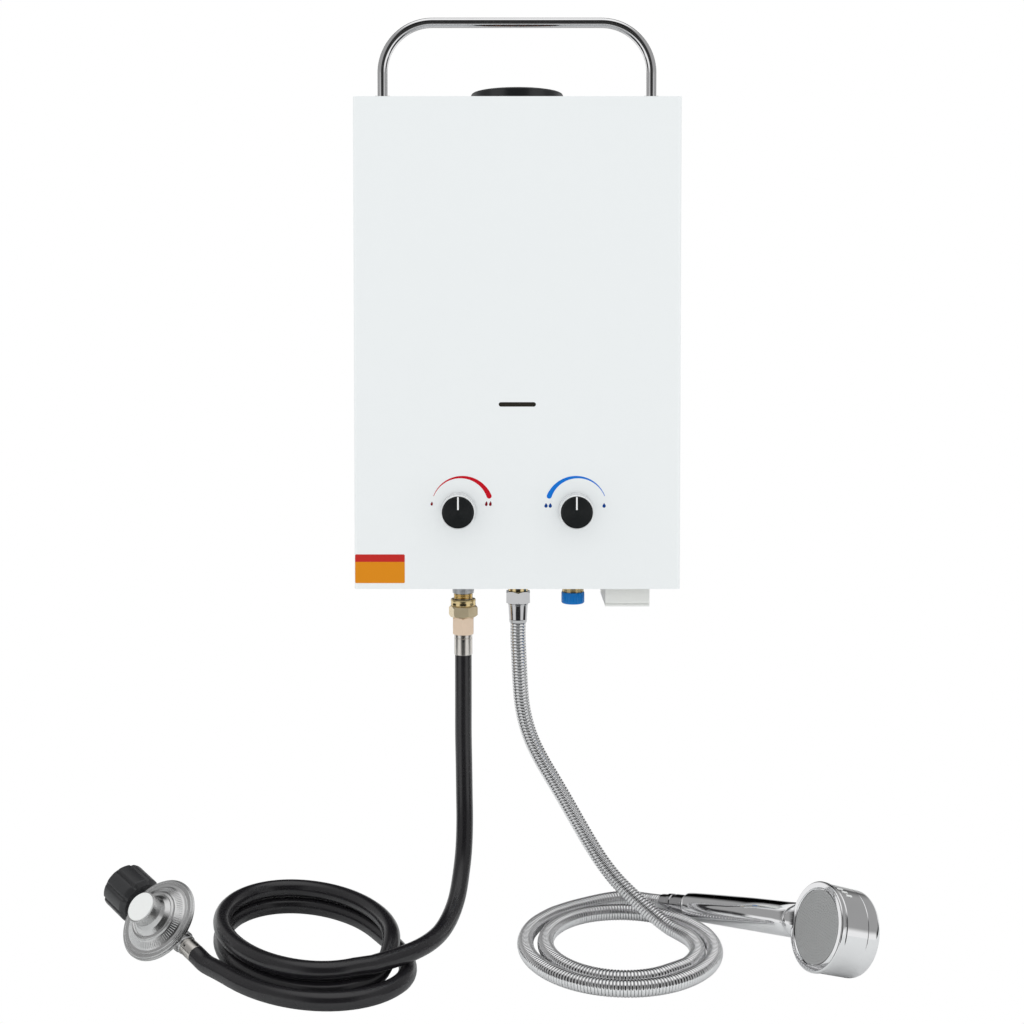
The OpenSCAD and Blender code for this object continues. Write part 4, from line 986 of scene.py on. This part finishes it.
# --------------------------------------------------------------------------- finishes
FINISHES = (
    Finish("white_enamel", srgb(241, 243, 244), low=0.28, high=0.34, grain=500.0, depth=0.03,
           tint=0.004, coat=0.15, coat_roughness=0.2),
    Finish("galvanised", (0.62, 0.63, 0.64), metallic=1.0, low=0.35, high=0.5, tint=0.1,
           tint_scale=120.0, pattern=Pattern.CAST),
    Finish("zinc_screw", (0.7, 0.7, 0.72), metallic=1.0, low=0.2, high=0.3),
    # Near-black window: painted shade of the unlit chamber behind it, on the mica's own slight
    # brown tint.
    Finish("mica", (0.03, 0.026, 0.02), low=0.15, high=0.3, clear=0.1, tint=0.4, tint_scale=400.0),
    Finish("black_enamel", (0.012, 0.013, 0.015), low=0.25, high=0.35, coat=0.5),
    Finish("chrome_tube", (0.9, 0.9, 0.91), metallic=1.0, low=0.06, high=0.1, depth=0.01),
    Finish("bracket_steel", (0.7, 0.71, 0.72), metallic=1.0, low=0.25, high=0.35),
    Finish("pin_steel", (0.5, 0.51, 0.53), metallic=1.0, low=0.3, high=0.4),
    Finish("knob_plastic", (0.005, 0.007, 0.008), low=0.34, high=0.42, grain=2500.0, depth=0.12,
           tint=0.05),
    Finish("knob_chrome", (0.88, 0.89, 0.9), metallic=0.2, low=0.2, high=0.3, depth=0.01),
    Finish("pointer_white", (0.9, 0.9, 0.9), low=0.4, high=0.5, tint=0.01),
    Finish("brass_part", (0.76, 0.6, 0.32), metallic=1.0, low=0.08, high=0.16, wear=0.3,
           wear_colour=(0.85, 0.72, 0.45)),
    Finish("satin_brass", srgb(238, 220, 184), metallic=0.55, low=0.14, high=0.22, tint=0.05,
           grain=700.0, depth=0.08),
    Finish("copper", (0.75, 0.38, 0.24), metallic=1.0, low=0.25, high=0.42, tint=0.12),
    Finish("aluminised", (0.62, 0.63, 0.64), metallic=1.0, low=0.4, high=0.5, tint=0.06),
    Finish("burner_steel", (0.55, 0.55, 0.56), metallic=1.0, low=0.35, high=0.5, tint=0.1),
    Finish("die_cast", (0.6, 0.61, 0.63), metallic=0.9, low=0.4, high=0.55, tint=0.06,
           pattern=Pattern.CAST),
    Finish("black_plastic", (0.014, 0.014, 0.015), low=0.38, high=0.5, grain=1600.0, depth=0.2,
           tint=0.08),
    Finish("nut_plastic", (0.03, 0.03, 0.032), low=0.32, high=0.42, grain=1600.0, depth=0.15,
           tint=0.1),
    Finish("rod_steel", (0.75, 0.75, 0.77), metallic=1.0, low=0.12, high=0.2),
    Finish("ceramic", (0.85, 0.83, 0.78), low=0.12, high=0.2, coat=0.5),
    Finish("blue_plastic", (0.0, 0.19, 0.6), low=0.22, high=0.32, grain=1500.0, depth=0.1,
           gloss=0.3),
    Finish("clear_plastic", (0.93, 0.93, 0.9), low=0.3, high=0.42, clear=0.1, tint=0.02),
    Finish("cell_jacket", (0.12, 0.14, 0.17), low=0.25, high=0.35, coat=0.3),
    Finish("pink_brass", srgb(240, 216, 192), metallic=0.55, low=0.25, high=0.4, tint=0.04),
    Finish("nickel", (0.74, 0.71, 0.67), metallic=1.0, low=0.2, high=0.28),
    Finish("black_rubber", (0.0125, 0.0115, 0.0135), low=0.22, high=0.32, grain=900.0, depth=0.1,
           coat=0.25, coat_roughness=0.12, tint=0.1),
    Finish("regulator_grey", (0.72, 0.72, 0.72), metallic=1.0, low=0.2, high=0.32, tint=0.1,
           pattern=Pattern.CAST),
    Finish("cap_white", (0.85, 0.85, 0.84), low=0.35, high=0.45, tint=0.01),
    Finish("hose_chrome", (0.6, 0.6, 0.61), metallic=1.0, low=0.07, high=0.12, depth=0.01),
    Finish("hose_steel", (0.92, 0.92, 0.93), metallic=1.0, low=0.07, high=0.12, tint=0.03),
    # Dark dull metal for the floors of the shower hose's grooves: painted shade between the ribs.
    Finish("hose_groove_shade", (0.03, 0.03, 0.032), metallic=0.6, low=0.35, high=0.5, tint=0.1),
    Finish("handset_chrome", (0.9, 0.9, 0.91), metallic=1.0, low=0.03, high=0.06, depth=0.006),
    Finish("spray_grey", srgb(160, 160, 160), low=0.5, high=0.6, tint=0.03),
    Finish("nozzle_grey", srgb(150, 150, 150), low=0.5, high=0.6, tint=0.05),
    Finish("ink_red", (0.55, 0.003, 0.014), low=0.4, high=0.5, tint=0.02, gloss=0.1),
    Finish("ink_dark_red", (0.2, 0.004, 0.012), low=0.4, high=0.5, tint=0.02, gloss=0.1),
    Finish("ink_blue", (0.004, 0.17, 0.66), low=0.4, high=0.5, tint=0.02, gloss=0.1),
    Finish("ink_dark_blue", (0.006, 0.05, 0.25), low=0.4, high=0.5, tint=0.02, gloss=0.1),
    Finish("label_red", (0.55, 0.022, 0.018), low=0.35, high=0.45, tint=0.01, gloss=0.15),
    Finish("label_orange", (0.72, 0.25, 0.006), low=0.35, high=0.45, tint=0.01, gloss=0.15),
    # Near-black for the ferrules' pressed dots: painted shade in the dimples, which are nickel.
    Finish("dimple_shade", (0.03, 0.03, 0.03), metallic=0.5, low=0.5, high=0.6),
)


# Edge rounding of CAD pieces, in millimetres
EDGES = {"back_plate": 0.3, "front_cover": 0.3, "bottom_plate": 0.25, "flue_collar": 0.5,
         "battery_case": 1.2, "battery_lid": 0.3, "handle_brackets": 0.3, "gas_valve": 0.5,
         "water_valve": 0.5, "diaphragm_cover": 0.5, "gas_manifold": 0.4, "micro_switch": 0.4,
         "igniter": 0.5, "exhaust_hood": 0.2, "gas_knob_ring": 0.3, "water_knob_ring": 0.3}


# --------------------------------------------------------------------------- pieces
class Shop:
    """Hands out materials and puts new pieces in the place of CAD nodes."""

    SHARP_FROM = 28.0
    ROUNDED_FROM = 40.0

    def __init__(self, frame: dict, materials: dict[str, bpy.types.Material]) -> None:
        """Reads each node's material slot.

        Args:
            materials: the finished materials by name.
        """
        self.frame = frame
        self.materials = materials
        self.slots = {s["node"]: s["material_slot"] for s in frame["record"]["subparts"]}

    def take(self, piece: bpy.types.Object, *nodes: str, slot: str = "") -> bpy.types.Object:
        """Puts a piece in the place of nodes by hiding them, and logs it.

        Args:
            piece: the new piece.
            nodes: the CAD nodes that it stands for, or none.
            slot: not used.

        Returns:
            The piece.
        """
        if nodes:
            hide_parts(*nodes)
        log.info("piece %s stands for %s", piece.name, ", ".join(nodes) or "itself")
        return piece

    def turned(self, name: str, profile: Profile, place: Matrix, finish: str, *nodes: str,
               slot: str = "", **shape: str | float | tuple) -> bpy.types.Object:
        """Makes a turned piece and takes it in.

        Args:
            name: the piece's name.
            profile: its (radius, height) points.
            place: where its axis is.
            finish: its material.
            nodes: the CAD nodes that it stands for, or none.
            slot: not used; take() ignores it.
            shape: what else lathe() takes.

        Returns:
            The piece.
        """
        piece = lathe(name, profile, place, self[finish], **shape)
        return self.take(piece, *nodes, slot=slot or ("" if nodes else finish))

    def __getitem__(self, name: str) -> bpy.types.Material:
        """Material by name."""
        return self.materials[name]

    def dress(self, edges: dict[str, float]) -> None:
        """Gives the CAD nodes their finish, smooth shading and fine edge roundings.

        Args:
            edges: width of the edge rounding in millimetres, by node.
        """
        for name, node in self.frame["nodes"].items():
            mesh = node.data
            mesh.materials.clear()
            mesh.materials.append(self.materials[self.slots[name]])
            for face in mesh.polygons:
                face.use_smooth = True
            mesh.set_sharp_from_angle(angle=math.radians(self.SHARP_FROM))
            if name in edges:
                bevel = node.modifiers.new("edge", "BEVEL")
                bevel.width = edges[name] * MM
                bevel.segments = 2
                bevel.limit_method = "ANGLE"
                bevel.angle_limit = math.radians(self.ROUNDED_FROM)
                bevel.harden_normals = True


def thread(root: float, crest: float, high: float, low: float, pitch: float,
           bore: float) -> Profile:
    """Draws a threaded sleeve.

    Args:
        root, crest: radii between and on the ridges.
        high, low: upper and lower end.
        pitch: distance of the ridges, about.
        bore: inner radius.

    Returns:
        The profile, from its upper to its lower end.
    """
    count = max(2, round((high - low) / pitch))
    step = (high - low) / count
    flank = 0.38  # share of the pitch from a root to its crest
    out = [(bore, high)]
    for i in range(count):
        h = high - i * step
        out += [(root, h), (crest, h - flank * step), (crest, h - (1 - flank) * step)]
    return out + [(root, low), (bore, low)]


def dimple(name: str, place: Matrix, radius: float, shop: Shop) -> bpy.types.Object:
    """A small pressed dot, coloured near-black as painted shade in its hollow; local Z of its
    place points outwards.
    """
    profile = [(radius, 0.02), (radius, 0.08), (radius * 0.7, 0.05), (0.0, 0.03)]
    return shop.turned(name, profile, place, "dimple_shade", slot="nickel", sides=20)


@dataclass
class Ports:
    """Fittings on the three ports under the casing."""

    shop: Shop
    gas_x: float = -50.0
    hot_x: float = 1.0
    cold_x: float = 52.0

    @staticmethod
    def _post(x: float, turn: float = 0.0) -> Matrix:
        """Frame whose origin is in the casing's bottom, on a port's axis."""
        return (Matrix.Translation(Vector((x, PORT_Y, CASING_BOTTOM)))
                @ Matrix.Rotation(math.radians(turn), 4, "Z"))

    def build(self) -> None:
        """Makes all fittings."""
        self._gas()
        self._hot()
        self._cold()

    def _ridges(self, name: str, profile: Profile, post: Matrix, finish: str) -> None:
        """Adds turned ridges to a port; they stand for no node."""
        self.shop.turned(name, profile, post, finish, sides=64, sharp=20)

    def _gas(self) -> None:
        """Thread, union collar and hex, lower hex and crimped sleeve."""
        shop, post = self.shop, self._post(self.gas_x)
        self._ridges("gas_inlet_thread", thread(8.1, 8.9, -13.3, -18.7, 1.35, 7.9), post,
                     "brass_part")
        for i, h in enumerate((-3.5, -7.2, -10.9)):
            ring = [(9.8, h + 0.5), (10.05, h + 0.3), (10.05, h - 0.3), (9.8, h - 0.5)]
            self._ridges(f"gas_inlet_ring_{i}", ring, post, "die_cast")
        collar = fillet([(8.6, -18.9), (11.2, -18.9), (11.7, -20.2), (11.4, -22.2), (11.7, -24.2),
                         (11.0, -25.5), (8.6, -25.5)], {1: 0.5, 2: 0.8, 3: 2.0, 4: 0.8, 5: 0.6})
        shop.turned("gas_union_collar", collar, post, "brass_part", body="gas_union")
        shop.take(hexagon("gas_union_hex", 13.6, -35.4, -25.4, 8.6, self._post(self.gas_x, -8),
                          shop["satin_brass"], "gas_union", 1.6), "gas_union")
        shop.take(hexagon("gas_fitting_hex", 10.9, -51.9, -35.8, 6.0, self._post(self.gas_x, 30),
                          shop["pink_brass"], ROOT, 1.1), "gas_fitting")
        sleeve = fillet([(7.8, -51.9), (8.4, -51.9), (8.4, -54.6), (8.1, -54.9), (8.1, -55.3),
                         (8.4, -55.6), (8.4, -70.9), (7.8, -70.9)], {1: 0.3, 6: 0.8})
        shop.turned("gas_ferrule_sleeve", sleeve, post, "nickel", "gas_ferrule")
        at = (self.gas_x + 0.5, PORT_Y - 8.38, CASING_BOTTOM - 57.4)
        dimple("gas_ferrule_dimple", frame_on(at, (0, -1, 0)), 1.0, shop)

    def _hot(self) -> None:
        """Thread, hexagon nut and crimped cone of the shower hose."""
        shop, post = self.shop, self._post(self.hot_x)
        self._ridges("hot_outlet_thread", thread(8.1, 8.9, -9.1, -11.3, 1.1, 7.9), post,
                     "brass_part")
        shop.take(hexagon("hose_nut_hex", 12.6, -22.6, -11.4, 8.4, self._post(self.hot_x, 30),
                          shop["hose_chrome"], "hose_nut", 1.2), "hose_nut")
        cone = fillet([(7.3, -23), (9.3, -23), (9.3, -24.2), (8.9, -24.6), (8.1, -37.6),
                       (8.3, -38.2), (8.1, -38.8), (7.8, -41), (7.3, -41)],
                      {1: 0.3, 2: 0.3, 7: 0.4})
        shop.turned("hose_ferrule_cone", cone, post, "hose_chrome", "hose_ferrule")

    def _cold(self) -> None:
        """Threads and the fluted protective cap."""
        post = self._post(self.cold_x)
        self._ridges("cold_inlet_thread", thread(9.75, 10.1, -4.2, -12.0, 1.3, 9.5), post,
                     "brass_part")
        cap = fillet([(9.3, -14), (9.3, -12.4), (10.4, -12.4), (10.7, -13), (10.7, -22),
                      (9.6, -23), (4, -23), (4, -22.7), (0, -22.7)], {2: 0.3, 4: 1.0, 5: 0.5})
        self.shop.turned("inlet_cap_fluted", cap, post, "blue_plastic", "inlet_cap",
                         body="inlet_cap", sides=192, sharp=30, flutes=(24, 0.3, 10.6))


@dataclass
class Knob:
    """One control knob: dark ribbed face in a bright band."""

    shop: Shop
    name: str
    x: float
    ribs: int = 12
    rib_pitch: float = 1.05

    def build(self) -> None:
        """Makes the knob in the place of its CAD node."""
        place = frame_on((self.x, FRONT_Y, KNOB_Z), (0, -1, 0))
        face = [(0.0, 20.75)]
        for i in range(1, self.ribs + 1):
            r = i * self.rib_pitch
            face += [(r - 0.25, 20.78), (r, 20.68), (r + 0.25, 20.78)]
        face += [(13.4, 21.0), (13.9, 20.9), (14.05, 20.6), (14.05, 20.0), (4.2, 19.9), (4.2, 2.0)]
        shop = self.shop
        shop.turned(self.name + "_face", face, place, "knob_plastic", self.name,
                    body=self.name, sides=128, sharp=40)
        band = fillet([(4.5, 1.0), (13.8, 1.0), (14.3, 1.6), (14.3, 17.8), (15.1, 18.8),
                       (15.1, 20.3), (14.6, 20.8), (14.1, 20.5), (13.6, 20.3)],
                      {1: 0.3, 2: 0.4, 3: 0.8, 4: 0.5, 5: 0.3})
        verts = [place @ Vector((x, y, z)) for z, inset in ((20.6, 0.0), (21.1, 0.1))
                 for x, y in ((-0.75 + inset, 2.2 + inset), (0.75 - inset, 2.2 + inset),
                              (0.75 - inset, 13.7), (-0.75 + inset, 13.7))]
        faces = [[0, 1, 2, 3], [4, 5, 6, 7]] + [[i, (i + 1) % 4, 4 + (i + 1) % 4, 4 + i]
                                                for i in range(4)]
        shop.take(mesh_piece(self.name + "_mark", verts, faces, shop["pointer_white"],
                             self.name), self.name + "_pointer")
        shop.turned(self.name + "_band", band, place, "knob_chrome", body=self.name, sides=128)


@dataclass
class Print:
    """Printed arcs and signs and the blank corner label, as thin films on the front."""

    shop: Shop
    lift: float = 0.05

    def _film(self, name: str, outline: Profile, ink: str) -> None:
        """Prints a flat film.

        Args:
            name: the piece's name.
            outline: its corners, x and height over the casing's bottom.
            ink: its finish.
        """
        back, front = FRONT_Y - 0.01, FRONT_Y - self.lift
        count = len(outline)
        verts = [(x, y, CASING_BOTTOM + z) for y in (back, front) for x, z in outline]
        faces = [list(range(count)), [count + i for i in range(count)][::-1]]
        faces += [[i, (i + 1) % count, count + (i + 1) % count, count + i] for i in range(count)]
        self.shop.take(mesh_piece(name, verts, faces, self.shop[ink], ROOT), slot="white_enamel")

    def _arc(self, name: str, x: float, thick_right: bool, ink: str) -> None:
        """Prints a band that grows along its arc and ends round.

        Args:
            name: the piece's name.
            x: the arc's middle.
            thick_right: whether its right end is the thick one.
            ink: its finish.
        """
        radius, height, low, high = 26.4, 73.5, 21.0, 159.0
        thin, more, steps, cap_steps = 0.25, 2.0, 48, 12
        inner, outer = [], []
        for i in range(steps + 1):
            t = i / steps
            a = math.radians(low + (high - low) * t)
            w = thin + more * (1 - t if thick_right else t) ** 1.3
            for line, r in ((inner, radius - w), (outer, radius + w)):
                line.append((x + r * math.cos(a), height + r * math.sin(a)))
        a = math.radians(low if thick_right else high)
        cx, cz = x + radius * math.cos(a), height + radius * math.sin(a)
        sign = -1 if thick_right else 1
        cap = []
        for i in range(1, cap_steps):
            b = a + sign * math.pi * i / cap_steps
            cap.append((cx + (thin + more) * math.cos(b), cz + (thin + more) * math.sin(b)))
        if thick_right:
            outline = inner[::-1] + cap[::-1] + outer
        else:
            outline = inner[::-1] + outer + cap
        self._film(name, outline, ink)

    def _drop(self, name: str, x: float, z: float, half: float, tall: float, ink: str,
              lean: float = 0.0) -> None:
        """Prints a drop or flame, round below and pointed above.

        Args:
            name: the piece's name.
            x, z: its middle, z over the casing's bottom.
            half: half its width, about.
            tall: its height.
            ink: its finish.
            lean: how far its tip leans to the right.
        """
        outline, steps = [], 28
        for i in range(steps):
            a = TAU * i / steps
            up = (1 + math.cos(a)) / 2
            wide = half * math.sin(a) * (1 - up ** 2.2)
            outline.append((x + wide * 1.25 + lean * up ** 2, z + tall * (up - 0.5)))
        self._film(name, outline, ink)

    def build(self) -> None:
        """Makes all films."""
        self._arc("print_gas_arc", -49.7, True, "ink_red")
        self._arc("print_water_arc", 53.0, False, "ink_blue")
        for i, (x, half, tall) in enumerate(((-76.1, 1.0, 3.8), (-27.6, 1.1, 4.6),
                                             (-24.0, 1.1, 4.6))):
            self._drop(f"print_flame_{i}", x, 76.4, half, tall, "ink_dark_red", 0.5)
        for i, x in enumerate((25.5, 29.3, 77.1)):
            self._drop(f"print_drop_{i}", x, 74.8, 1.35, 4.4, "ink_dark_blue")
        left, right, low, high, head = -144.3, -100.1, 5.3, 31.0, 6.7
        seam = high - head
        self._film("label_head", fillet([(right, seam), (right, high), (left, high),
                                         (left, seam)], {1: 1.3, 2: 1.3}), "label_red")
        self._film("label_field", fillet([(left, seam - 0.02), (left, low), (right, low),
                                          (right, seam - 0.02)], {1: 1.3, 2: 1.3}),
                   "label_orange")


@dataclass
class RegulatorPieces:
    """The low pressure regulator's visible pieces, in its own frame."""

    shop: Shop
    frame: Regulator = field(default_factory=Regulator)
    nut_r: float = 21.0
    nut_len: float = 35.0

    def build(self) -> None:
        """Makes body, bonnet, cap, nut and ferrule."""
        at, shop = self.frame.matrix(), self.shop
        drop = self.frame.flow_drop
        body = fillet([(0, -16), (18, -16), (32, -2.9), (35.6, -2.5), (36.5, -1.9), (36.5, -0.4),
                       (36.1, 0), (30, 0)], {1: 2.0, 3: 0.4, 4: 0.4})
        shop.turned("regulator_body_cast", body, at, "regulator_grey", "regulator_body", sides=160)
        flow = at @ Matrix.Translation(Vector((0, 0, -drop))) @ Matrix.Rotation(
            math.radians(90), 4, "Y")
        outlet = fillet([(0, 18), (9.5, 18), (9.5, 33), (8.4, 34.2), (8.4, 38.4), (7.8, 39),
                         (0, 39)], {2: 0.8, 3: 0.5, 4: 0.4})
        shop.turned("regulator_outlet", outlet, flow, "regulator_grey")
        inlet = fillet([(0, -45), (8.5, -45), (9.5, -40), (9.5, -20), (0, -20)], {2: 1.0})
        shop.turned("regulator_inlet", inlet, flow, "regulator_grey")
        bonnet = fillet([(30, 0.0), (35.4, 0.05), (35.5, 1.2), (34.9, 1.9), (33.4, 1.9),
                         (32.9, 1.2), (31.9, 1.2), (31.3, 2.1), (29.0, 2.5), (22.0, 6.8),
                         (21.4, 8.6), (19.6, 9.2), (18.6, 8.8), (15.0, 12.0), (13.2, 16.0),
                         (12.9, 23.4), (13.7, 24.4), (13.7, 26), (0, 26)],
                        {2: 0.4, 3: 0.4, 4: 0.3, 7: 0.4, 8: 0.8, 10: 0.6, 13: 1.5, 14: 2.0,
                         16: 0.5, 17: 0.3})
        shop.turned("regulator_bonnet_cast", bonnet, at, "regulator_grey", "regulator_bonnet",
                    sides=160)
        self._rays(at)
        cap = fillet([(0, 25.9), (12.4, 25.9), (12.5, 27.1), (12.2, 27.5), (0, 27.5)],
                     {2: 0.3, 3: 0.2})
        shop.turned("regulator_cap_disc", cap, at, "cap_white", "regulator_cap")
        tip = self.frame.outlet
        sleeve = fillet([(6.9, tip), (7.75, tip), (7.75, tip + 2.4), (7.5, tip + 2.7),
                         (7.5, tip + 3.0), (7.75, tip + 3.3), (7.75, tip + 15), (6.9, tip + 15)],
                        {1: 0.3, 6: 0.8})
        shop.turned("regulator_ferrule_sleeve", sleeve, flow, "nickel", "regulator_ferrule")
        front = flow.to_3x3().inverted() @ Vector((-0.35, -0.75, 0.55))
        front.z = 0
        out = flow.to_3x3() @ front.normalized()
        spot = flow @ Vector((0, 0, tip + 4.6)) + out * 7.72
        dimple("regulator_ferrule_dimple", frame_on(spot, out, (0, 0, 1)), 1.0, shop)
        self._nut(flow)

    def _rays(self, at: Matrix) -> None:
        """Casts radial ridges on the bonnet's cone.

        Args:
            at: the regulator's frame.
        """
        verts, faces = [], []
        count, half, rise = 84, 0.011, 0.28
        for k in range(count):
            a = TAU * k / count
            for r, h in ((23.2, 6.1), (27.6, 3.4)):
                for b, up in ((a - half, 0.0), (a, rise), (a + half, 0.0)):
                    verts.append(at @ polar(r, b, h + up))
            n = k * 6
            faces += [[n, n + 1, n + 4, n + 3], [n + 1, n + 2, n + 5, n + 4],
                      [n, n + 2, n + 1], [n + 3, n + 4, n + 5], [n, n + 3, n + 5, n + 2]]
        self.shop.take(mesh_piece("regulator_rays", verts, faces, self.shop["regulator_grey"],
                                  ROOT, 20), slot="regulator_grey")

    def _nut(self, flow: Matrix) -> None:
        """Turns the hand nut, with wide lands and narrow grooves.

        Args:
            flow: frame whose local Z runs from the nut towards the hose.
        """
        x0 = self.frame.nut_x
        big = self.nut_r
        outer = fillet([(9.9, x0), (big - 3.6, x0), (big - 0.6, x0 - 3.4), (big, x0 - 4.6),
                        (big, x0 - self.nut_len + 2.4), (big - 2.4, x0 - self.nut_len),
                        (16.6, x0 - self.nut_len), (16.6, x0 - 12), (9.9, x0 - 12)],
                       {1: 0.8, 2: 1.0, 4: 1.6, 5: 1.0})
        self.shop.turned("tank_nut_fluted", outer, flow, "nut_plastic", "tank_nut",
                         body="tank_nut", sides=288, sharp=24, flutes=(9, 1.5, big - 0.9))


@dataclass
class Handset:
    """The hand shower: cone nut, handle, drum and spray plate."""

    shop: Shop
    grip: Grip = field(default_factory=Grip)
    cone_len: float = 30.0
    head_r: float = 37.3
    set_back: float = 11.0

    def build(self) -> None:
        """Makes all pieces."""
        shop = self.shop
        along = self.grip.along()
        at = frame_on(self.grip.cone, along, (0, 0, 1))
        end = (self.grip.aim() - Vector(self.grip.cone)).length
        gap = 0.3
        cone = fillet([(7.3, gap), (8.0, gap), (8.3, 3), (8.3, 8.5), (9.3, 9.2), (9.3, 13.5),
                       (8.6, 14.2), (8.6, 17.5), (9.5, 18.2), (9.5, self.cone_len - 1),
                       (9.0, self.cone_len - gap), (7.3, self.cone_len - gap)],
                      {1: 0.3, 4: 0.4, 5: 0.5, 6: 0.4, 8: 0.4, 9: 0.5, 10: 0.3})
        shop.turned("hose_cone_nut", cone, at, "hose_chrome", "hose_cone", body="hose_cone",
                    sides=96, sharp=40)
        head = frame_on(self.grip.head, self.grip.normal, (0, 0, 1))
        self._handle(at, head, self.cone_len + gap, end)
        drum = fillet([(0, -42), (22.2, -42), (36.2, -42), (36.2, -28), (35.8, -27.6),
                       (36.3, -27.2), (36.6, -6.2), (36.2, -5.6), (36.2, -5.1), (37.0, -4.6),
                       (37.3, -3.6), (37.3, 0), (32.0, 0), (31.2, -0.9), (31.2, -1.6), (0, -1.6)],
                      {2: 14.0, 6: 0.4, 9: 0.5, 10: 0.5, 11: 1.6, 12: 0.4}, 10)
        shop.turned("handset_head_drum", drum, head, "handset_chrome", "handset_head", sides=192,
                    sharp=40)
        plate = [(0, -0.5), (30.2, -0.5), (30.6, -0.8), (30.6, -1.5), (0, -1.5)]
        shop.turned("spray_plate_disc", plate, head, "spray_grey", "spray_plate", sides=128)
        self._nozzles(head)
        self._slots(head)

    def _bent(self, p: Vector, at: Matrix, end: float) -> Vector:
        """Moves a point of the handle's last part back behind the drum's rim.

        Args:
            p: the point, in the grip's frame.
            at: the grip's frame.
            end: where the handle's axis ends.

        Returns:
            The moved point.
        """
        from_end, length = 95, 60
        t = min(1.0, max(0.0, (p[2] - (end - from_end)) / length))
        back = at.to_3x3().inverted() @ Vector(self.grip.normal).normalized()
        return p - back * self.set_back * t * t * (3 - 2 * t)

    def _handle(self, at: Matrix, head: Matrix, start: float, end: float) -> None:
        """Makes the tapered handle, whose far end follows the drum's round side.

        Args:
            at: the grip's frame, local Z along the handle.
            head: the head's frame, local Z out of its face.
            start: where the handle starts on its axis.
            end: where its axis ends inside the drum.
        """
        sides, far_r, inside, steps = 128, 15, 1.1, 14
        to_head = head.inverted() @ at
        columns = []
        for j in range(sides):
            a = TAU * j / sides
            stop = end - 60.0
            while stop < end:
                p = to_head @ self._bent(polar(far_r, a, stop), at, end)
                if math.hypot(p[0], p[1]) < self.head_r - inside:
                    break
                stop += 0.2
            run = stop - 8.0 - start
            line = [(0, start), (9.6, start), (10.8, start + 0.5), (11.6, start + 1.6),
                    (12.0, start + 3.4)]
            line += [(12 + 3 * (k / steps) ** 0.8, start + 3.4 + (run - 3.4) * k / steps)
                     for k in range(1, steps + 1)]
            line += [(14.6, stop - 7.4), (14.6, stop - 6.4), (15.3, stop - 5.6),
                     (16.1, stop - 3.6), (16.1, stop - 2.0), (15.4, stop - 0.2),
                     (15.0, stop + 1.5), (0, end - 20)]
            columns.append((a, line))
        rows = len(columns[0][1])
        verts = [at @ self._bent(polar(line[i][0], a, line[i][1]), at, end)
                 for i in range(rows) for a, line in columns]
        piece = mesh_piece("handset_handle_tube", verts, tube_faces(rows, sides),
                           self.shop["handset_chrome"], ROOT, 50)
        self.shop.take(piece, "handset_handle")

    def _nozzles(self, head: Matrix) -> None:
        """Puts fine nozzles in rings on the spray plate.

        Args:
            head: the head's frame.
        """
        verts, faces = [], []
        spots, rings, spacing = [(0.0, 0.0)], 12, 2.35
        for ring in range(1, rings + 1):
            count = ring * 6
            for k in range(count):
                a = TAU * (k + 0.5 * (ring % 2)) / count
                spots.append((ring * spacing * math.cos(a), ring * spacing * math.sin(a)))
        for x, y in spots:
            n = len(verts)
            for r, h in ((0.5, -0.52), (0.38, -0.25)):
                for j in range(6):
                    a = math.pi * j / 3
                    verts.append(head @ Vector((x + r * math.cos(a), y + r * math.sin(a), h)))
            faces += [[n + j, n + (j + 1) % 6, n + 6 + (j + 1) % 6, n + 6 + j] for j in range(6)]
            faces.append([n + 6 + j for j in range(6)])
        piece = mesh_piece("spray_nozzles", verts, faces, self.shop["nozzle_grey"], ROOT)
        self.shop.take(piece, slot="spray_grey")

    def _slots(self, head: Matrix) -> None:
        """Puts three small raised bars on the drum.

        Args:
            head: the head's frame.
        """
        verts, faces = [], []
        for k in range(3):
            mid = math.radians(-9 - 6.5 * k)
            n = len(verts)
            for r in (36.3, 36.85):
                for h in (-12.5 - 2.4 * k, -6.9 - 2.4 * k):
                    for b in (-0.026, 0.026):
                        verts.append(head @ polar(r, mid + b, h))
            faces += [[n + i for i in q] for q in ((0, 1, 3, 2), (4, 5, 7, 6), (0, 1, 5, 4),
                                                   (2, 3, 7, 6), (0, 2, 6, 4), (1, 3, 7, 5))]
        piece = mesh_piece("handset_bars", verts, faces, self.shop["cap_white"], ROOT)
        self.shop.take(piece, slot="handset_chrome")


def main() -> None:
    """Builds the scene."""
    logging.basicConfig(level=logging.INFO, format="%(name)s: %(message)s")
    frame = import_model()
    effects = Effects()
    materials = {finish.name: finish.material(effects) for finish in FINISHES}
    Studio().build()
    shop = Shop(frame, materials)
    shop.dress(EDGES)
    GasHose().build(materials["black_rubber"])
    ShowerHose().build(materials["hose_steel"], materials["hose_groove_shade"])
    Ports(shop).build()
    Knob(shop, "gas_knob", -KNOB_X).build()
    Knob(shop, "water_knob", KNOB_X).build()
    Print(shop).build()
    RegulatorPieces(shop).build()
    Handset(shop).build()


if __name__ == "__main__":
    main()
